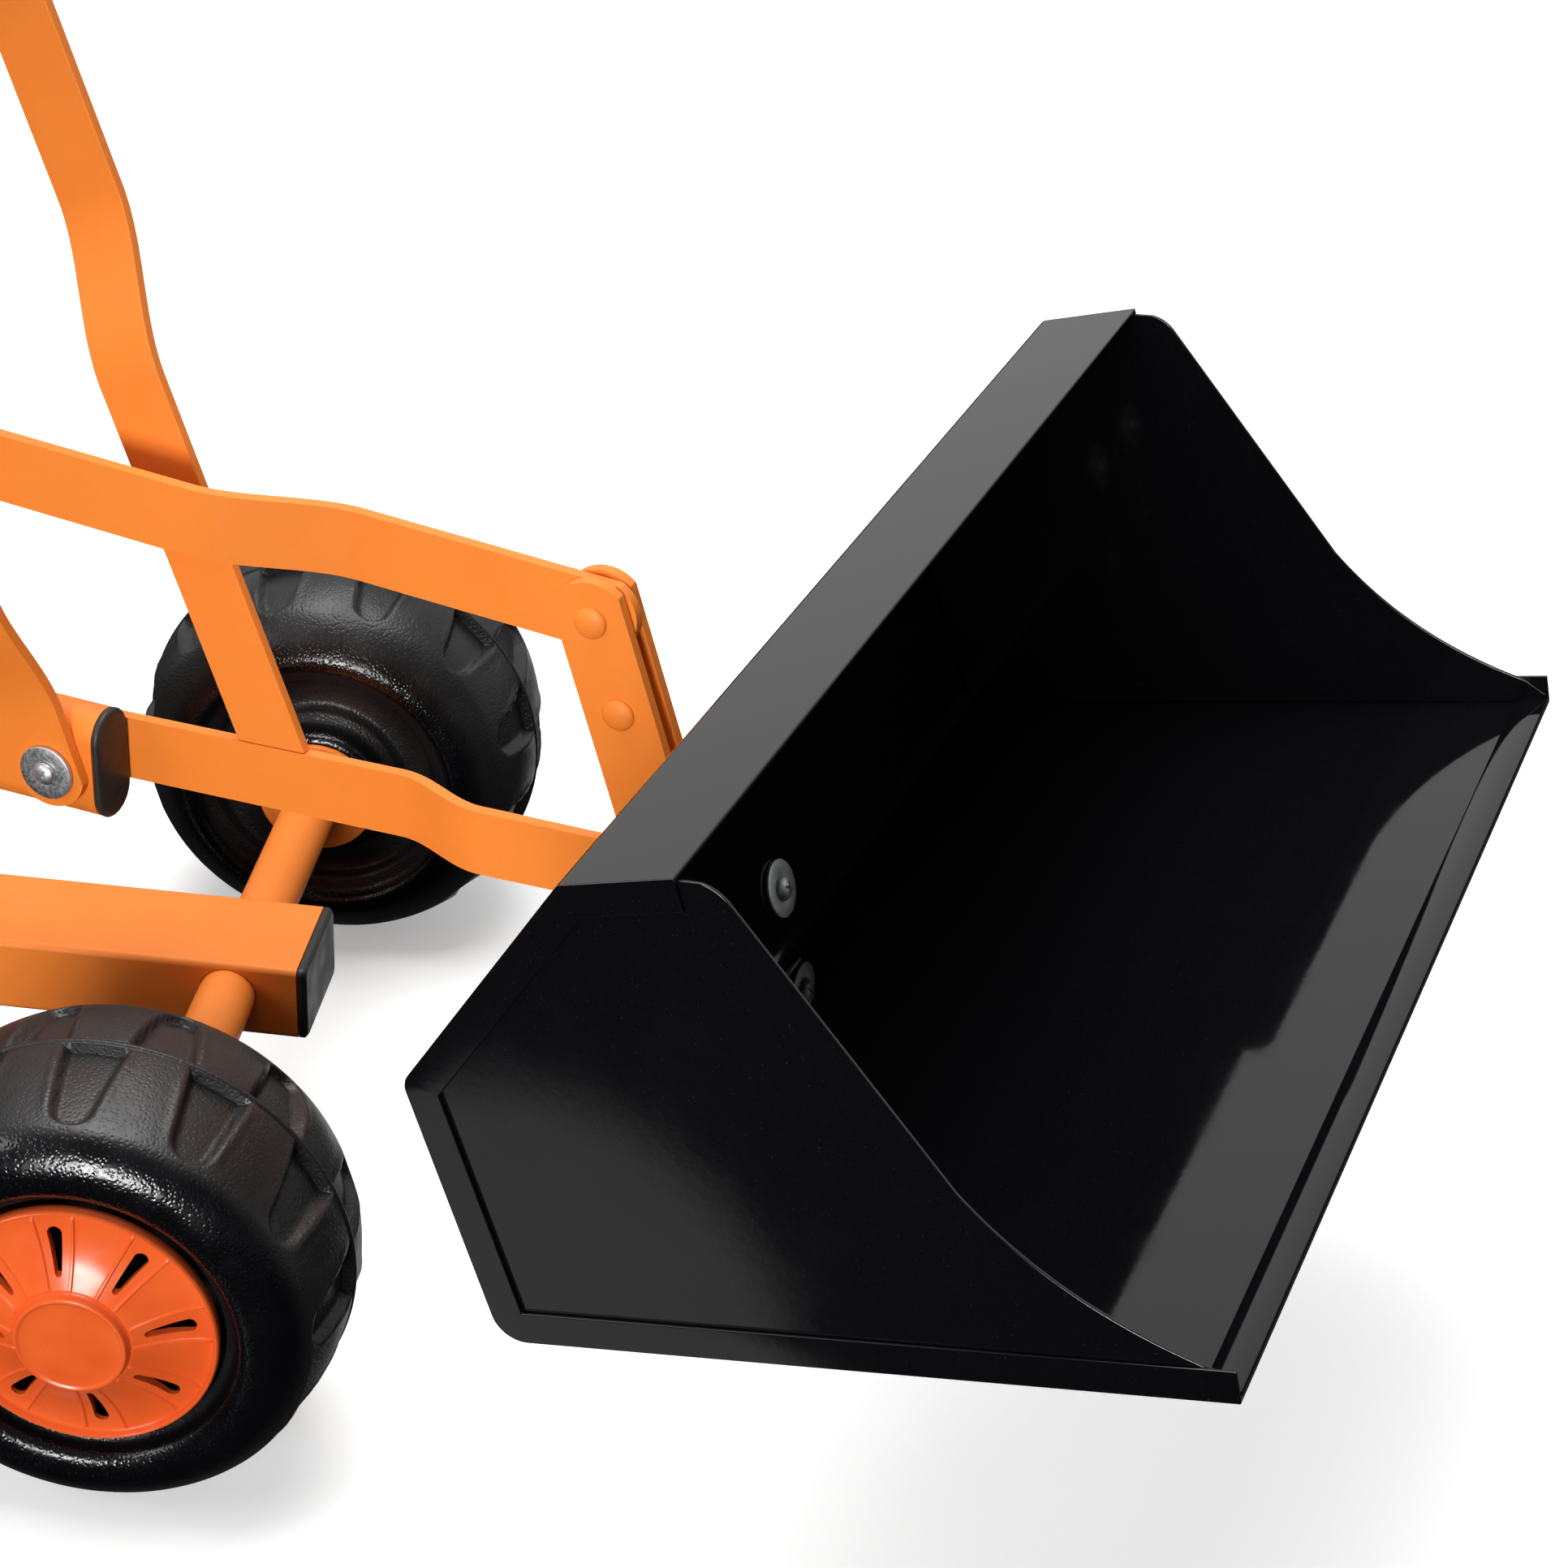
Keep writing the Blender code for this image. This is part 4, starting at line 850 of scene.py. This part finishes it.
def build_chassis():
    bore, inside, flange_x = 6.3, 146.0, 149.0
    half = [(bore, flange_x), (28.6, flange_x), (29, flange_x - 0.5), (29, inside + 0.5), (28.6, inside),
            (16.5, inside), (15.0, inside - 0.5), (13.6, inside - 1.6), (13, inside - 3.4)]
    wall = [(11, inside), (bore, inside)]
    profile = half + [(r, -x) for r, x in reversed(half)] + [(r, -x) for r, x in reversed(wall)] + wall
    for side, label in ((-1, "front"), (1, "rear")):
        centre = (SLEW.x, SLEW.y + side * AXLE_Y, AXLE_Z)
        piece("cross_tube_" + label, lathe(profile, centre, "X", 96), PAINT, "chassis", ["axle_tube_" + label])
    low = BEAM_HIGH + 5.0 + 2 * CLEARANCE
    post = [(30, low), (30, 183), (31, 186.4), (33.5, 187.6), (41.6, 187.6), (42, 188), (42, 192.2),
            (41.6, POST_TOP), (6.08, POST_TOP), (6.08, 187.6), (27, 187.6), (27, low)]
    piece("slew_column", lathe(post, tuple(SLEW), "Z", 96), PAINT, "chassis", ["slew_post"])
    weld_bead("post_weld", Vector((SLEW.x, SLEW.y, low)), 30.2, "chassis")


def weld_bead(name, centre, radius, body):
    """A small fillet of overlapping weld ripples round a tube."""
    count = int(math.tau * radius / 1.1)
    rings = []
    for k in range(count):
        turn = math.tau * k / count
        size = 1.5 + 0.28 * math.cos(turn * round(math.tau * radius / 3.4))
        ring = []
        for j in range(8):
            a = math.tau * j / 8
            r, s = radius + size * math.cos(a) * 0.8, size * math.sin(a) * 0.8
            ring.append((r * math.cos(turn), r * math.sin(turn), s))
        rings.append([Vector(p) + centre for p in ring])
    piece(name, loft(rings, closed=True), PAINT, body, smooth=70)


def seat_level(x, y):
    rim = max(0.0, abs(x) - 0.45) / 0.55
    back = max(0.0, y - 0.35) / 0.65
    front = max(0.0, -y - 0.5) / 0.5
    return 34.0 * rim ** 2 + 118.0 * back ** 1.8 * (1 - 0.35 * x * x) - 16.0 * front ** 2


def build_seat():
    """The moulded seat: a dished shell with a rolled edge, and its four screws."""
    rows = columns = 56
    wall = 6.0
    grids = []
    for layer in (0, 1):
        grid = []
        for i in range(rows + 1):
            y = -1 + 2 * i / rows
            row = []
            for k in range(columns + 1):
                x = -1 + 2 * k / columns
                squeeze = math.sqrt(max(0.0, 1 - 0.28 * y * y))
                lean = math.sqrt(max(0.0, 1 - 0.18 * x * x))
                edge = max(abs(x), abs(y))
                roll = smooth_step(edge, 0.955, 1.0)
                level = 300.3 + seat_level(x, y) + (wall if layer else 0.0)
                level += (-1.6 if layer else 1.2) * roll
                row.append((x * 159.0 * squeeze, 115.0 + y * 144.5 * lean, level))
            grid.append(row)
        grids.append(grid)
    made = bmesh.new()
    low, high = [[[made.verts.new(p) for p in row] for row in grid] for grid in grids]
    for i in range(rows):
        for k in range(columns):
            made.faces.new((low[i][k], low[i + 1][k], low[i + 1][k + 1], low[i][k + 1]))
            made.faces.new((high[i][k], high[i][k + 1], high[i + 1][k + 1], high[i + 1][k]))
    border = [(0, k) for k in range(columns)] + [(i, columns) for i in range(rows)]
    border += [(rows, k) for k in range(columns, 0, -1)] + [(i, 0) for i in range(rows, 0, -1)]
    for (i, k), (m, n) in zip(border, border[1:] + border[:1]):
        made.faces.new((low[i][k], low[m][n], high[m][n], high[i][k]))
    seat = upper_piece("moulded_seat", made, SEAT, "upper_frame", ["seat"], 60)
    soften(seat, 1.6, 3, 50)
    for side in (-1, 1):
        for f in (-70.0, -150.0):
            spot = Matrix.Translation((side * 9.0, -f, 306.4))
            head = turned(cross_screw(6.5, 3.4, 2.0, 3.0), spot @ Matrix.Rotation(math.radians(-90), 4, "X"))
            upper_piece("seat_screw_%s_%s" % ("left" if side > 0 else "right", "front" if f > -100 else "rear"),
                        head, ZINC, "upper_frame")


def dress_cad():
    for node in ("main_beam", "post_base_plate", "seat_riser_front", "seat_riser_rear"):
        dress(node, PAINT, 1.2 if node == "main_beam" else 0.7)
    dress("ear_bracket", PAINT, 0.5)
    for node in ("beam_cap_front", "beam_cap_rear"):
        dress(node, CAP, 0.5)
    dress("bearing_ring", CAP, 0.4)
    for node in ("axle_rod_front", "axle_rod_rear", "slew_bolt", "slew_nut", "lever_pin"):
        dress(node, ZINC, 0.2)
    for end in ("front", "rear"):
        for hand in ("left", "right"):
            dress("axle_nut_%s_%s" % (end, hand), ZINC, 0.3)


# ---------------------------------------------------------------- floor, light and camera

def build_stage():
    floor = bpy.data.meshes.new("floor")
    half = 14.0
    floor.from_pydata([(-half, -half, 0), (half, -half, 0), (half, half, 0), (-half, half, 0)], [], [(0, 1, 2, 3)])
    paper = Shader("floor_paper", (0.93, 0.93, 0.93), 0.9, Specular_IOR_Level=0.0, Emission_Strength=0.3)
    paper.bsdf.inputs["Emission Color"].default_value = (1.0, 1.0, 1.0, 1.0)
    paper.colour(paper.mix_colour(paper.ramp(paper.noise(0.8, 2.0), 0.3, 0.7, 0.0, 1.0),
                                  (0.925, 0.925, 0.925), (0.94, 0.94, 0.94)))
    apart = paper.tree.nodes.new("ShaderNodeVectorMath")
    apart.operation = "LENGTH"
    paper.link(paper.coordinates, apart.inputs[0])
    paper.link(paper.ramp(apart.outputs["Value"], 0.8, 4.5, 0.34, 1.0), paper.bsdf.inputs["Emission Strength"])
    floor.materials.append(paper.material)
    wall = bpy.data.meshes.new("backdrop")
    ring = [(half * math.cos(math.radians(a)), half * math.sin(math.radians(a))) for a in range(0, 360, 5)]
    count = len(ring)
    wall.from_pydata([(x, y, z) for z in (-0.01, 2 * half) for x, y in ring], [],
                     [(i, (i + 1) % count, count + (i + 1) % count, count + i) for i in range(count)])
    white = Shader("backdrop_paper", (0.9, 0.9, 0.9), 0.9, Specular_IOR_Level=0.0, Emission_Strength=1.0)
    white.bsdf.inputs["Emission Color"].default_value = (1.0, 1.0, 1.0, 1.0)
    white.colour(white.mix_colour(white.ramp(white.noise(0.5, 2.0), 0.3, 0.7, 0.0, 1.0),
                                  (0.89, 0.89, 0.89), (0.91, 0.91, 0.91)))
    wall.materials.append(white.material)
    for name, mesh in (("floor", floor), ("backdrop", wall)):
        made = bpy.data.objects.new(name, mesh)
        bpy.context.scene.collection.objects.link(made)
        made.visible_glossy = made.visible_diffuse = False
        made.visible_shadow = name == "floor"


def area_light(name, place, target, size, power, spread=180.0):
    data = bpy.data.lights.new(name, "AREA")
    data.shape = "RECTANGLE"
    data.size, data.size_y = size
    data.energy = power
    data.spread = math.radians(spread)
    made = bpy.data.objects.new(name, data)
    made.location = place
    made.rotation_mode = "QUATERNION"
    made.rotation_quaternion = (Vector(target) - Vector(place)).to_track_quat("-Z", "Y")
    bpy.context.scene.collection.objects.link(made)
    return made


def build_light():
    world = bpy.data.worlds.new("studio")
    bpy.context.scene.world = world
    world.use_nodes = True
    tree = world.node_tree
    background = tree.nodes["Background"]
    place = tree.nodes.new("ShaderNodeTexCoord").outputs["Generated"]
    split = tree.nodes.new("ShaderNodeSeparateXYZ")
    tree.links.new(place, split.inputs[0])
    # brighter on the far side of the object than on the camera's, and nearly dark below the floor
    both = tree.nodes.new("ShaderNodeMath")
    both.operation = "MULTIPLY"
    tree.links.new(smooth_range(tree, split.outputs["X"], -0.35, 0.35, 0.10, 0.64), both.inputs[0])
    tree.links.new(smooth_range(tree, split.outputs["Z"], -0.05, 0.05, 0.06, 1.0), both.inputs[1])
    strength = both.outputs[0]
    # reflector cards low down: one seen in the near side plate, one in the beam's end cap
    for towards, edge, inner, bright in (((-0.5662, 0.4947, -0.6593), 0.9945, 0.9965, 0.5),
                                         ((0.84, -0.12, -0.528), 0.96, 0.98, 0.9)):
        facing = tree.nodes.new("ShaderNodeVectorMath")
        facing.operation = "DOT_PRODUCT"
        facing.inputs[1].default_value = Vector(towards).normalized()
        tree.links.new(place, facing.inputs[0])
        total = tree.nodes.new("ShaderNodeMath")
        tree.links.new(strength, total.inputs[0])
        tree.links.new(smooth_range(tree, facing.outputs["Value"], edge, inner, 0.0, bright), total.inputs[1])
        strength = total.outputs[0]
    tree.links.new(strength, background.inputs["Strength"])
    background.inputs["Color"].default_value = (1.0, 1.0, 1.0, 1.0)
    middle = (0.0, -0.1, 0.2)
    area_light("front_box", (-2.1, 0.15, 0.72), (0.0, -0.14, 0.24), (0.9, 0.7), 4.1, 50.0)
    area_light("overhead", (0.3, 0.1, 2.6), middle, (1.8, 1.8), 62.0)
    area_light("rear_box", (-1.5, 2.5, 1.9), middle, (1.3, 1.3), 22.0)


def build_camera():
    data = bpy.data.cameras.new("camera")
    data.sensor_width, data.lens = 36.0, 80.749
    data.shift_x, data.shift_y = 0.04512, 0.0398
    data.clip_start, data.clip_end = 0.05, 60.0
    made = bpy.data.objects.new("camera", data)
    turn = Matrix(((0.13287012, 0.51978584, -0.84390059), (-0.99055036, 0.09884298, -0.09507917),
                   (0.03399284, 0.84855922, 0.52800733)))
    made.matrix_world = Matrix.Translation((-1.2257223, -0.3559690, 1.0030061)) @ turn.to_4x4()
    bpy.context.scene.collection.objects.link(made)
    bpy.context.scene.camera = made


build_wheels()
build_bars()
build_bucket()
build_upper_frame()
build_chassis()
build_seat()
dress_cad()
build_stage()
build_light()
build_camera()
bpy.context.scene.view_settings.view_transform = "Standard"
bpy.context.view_layer.update()
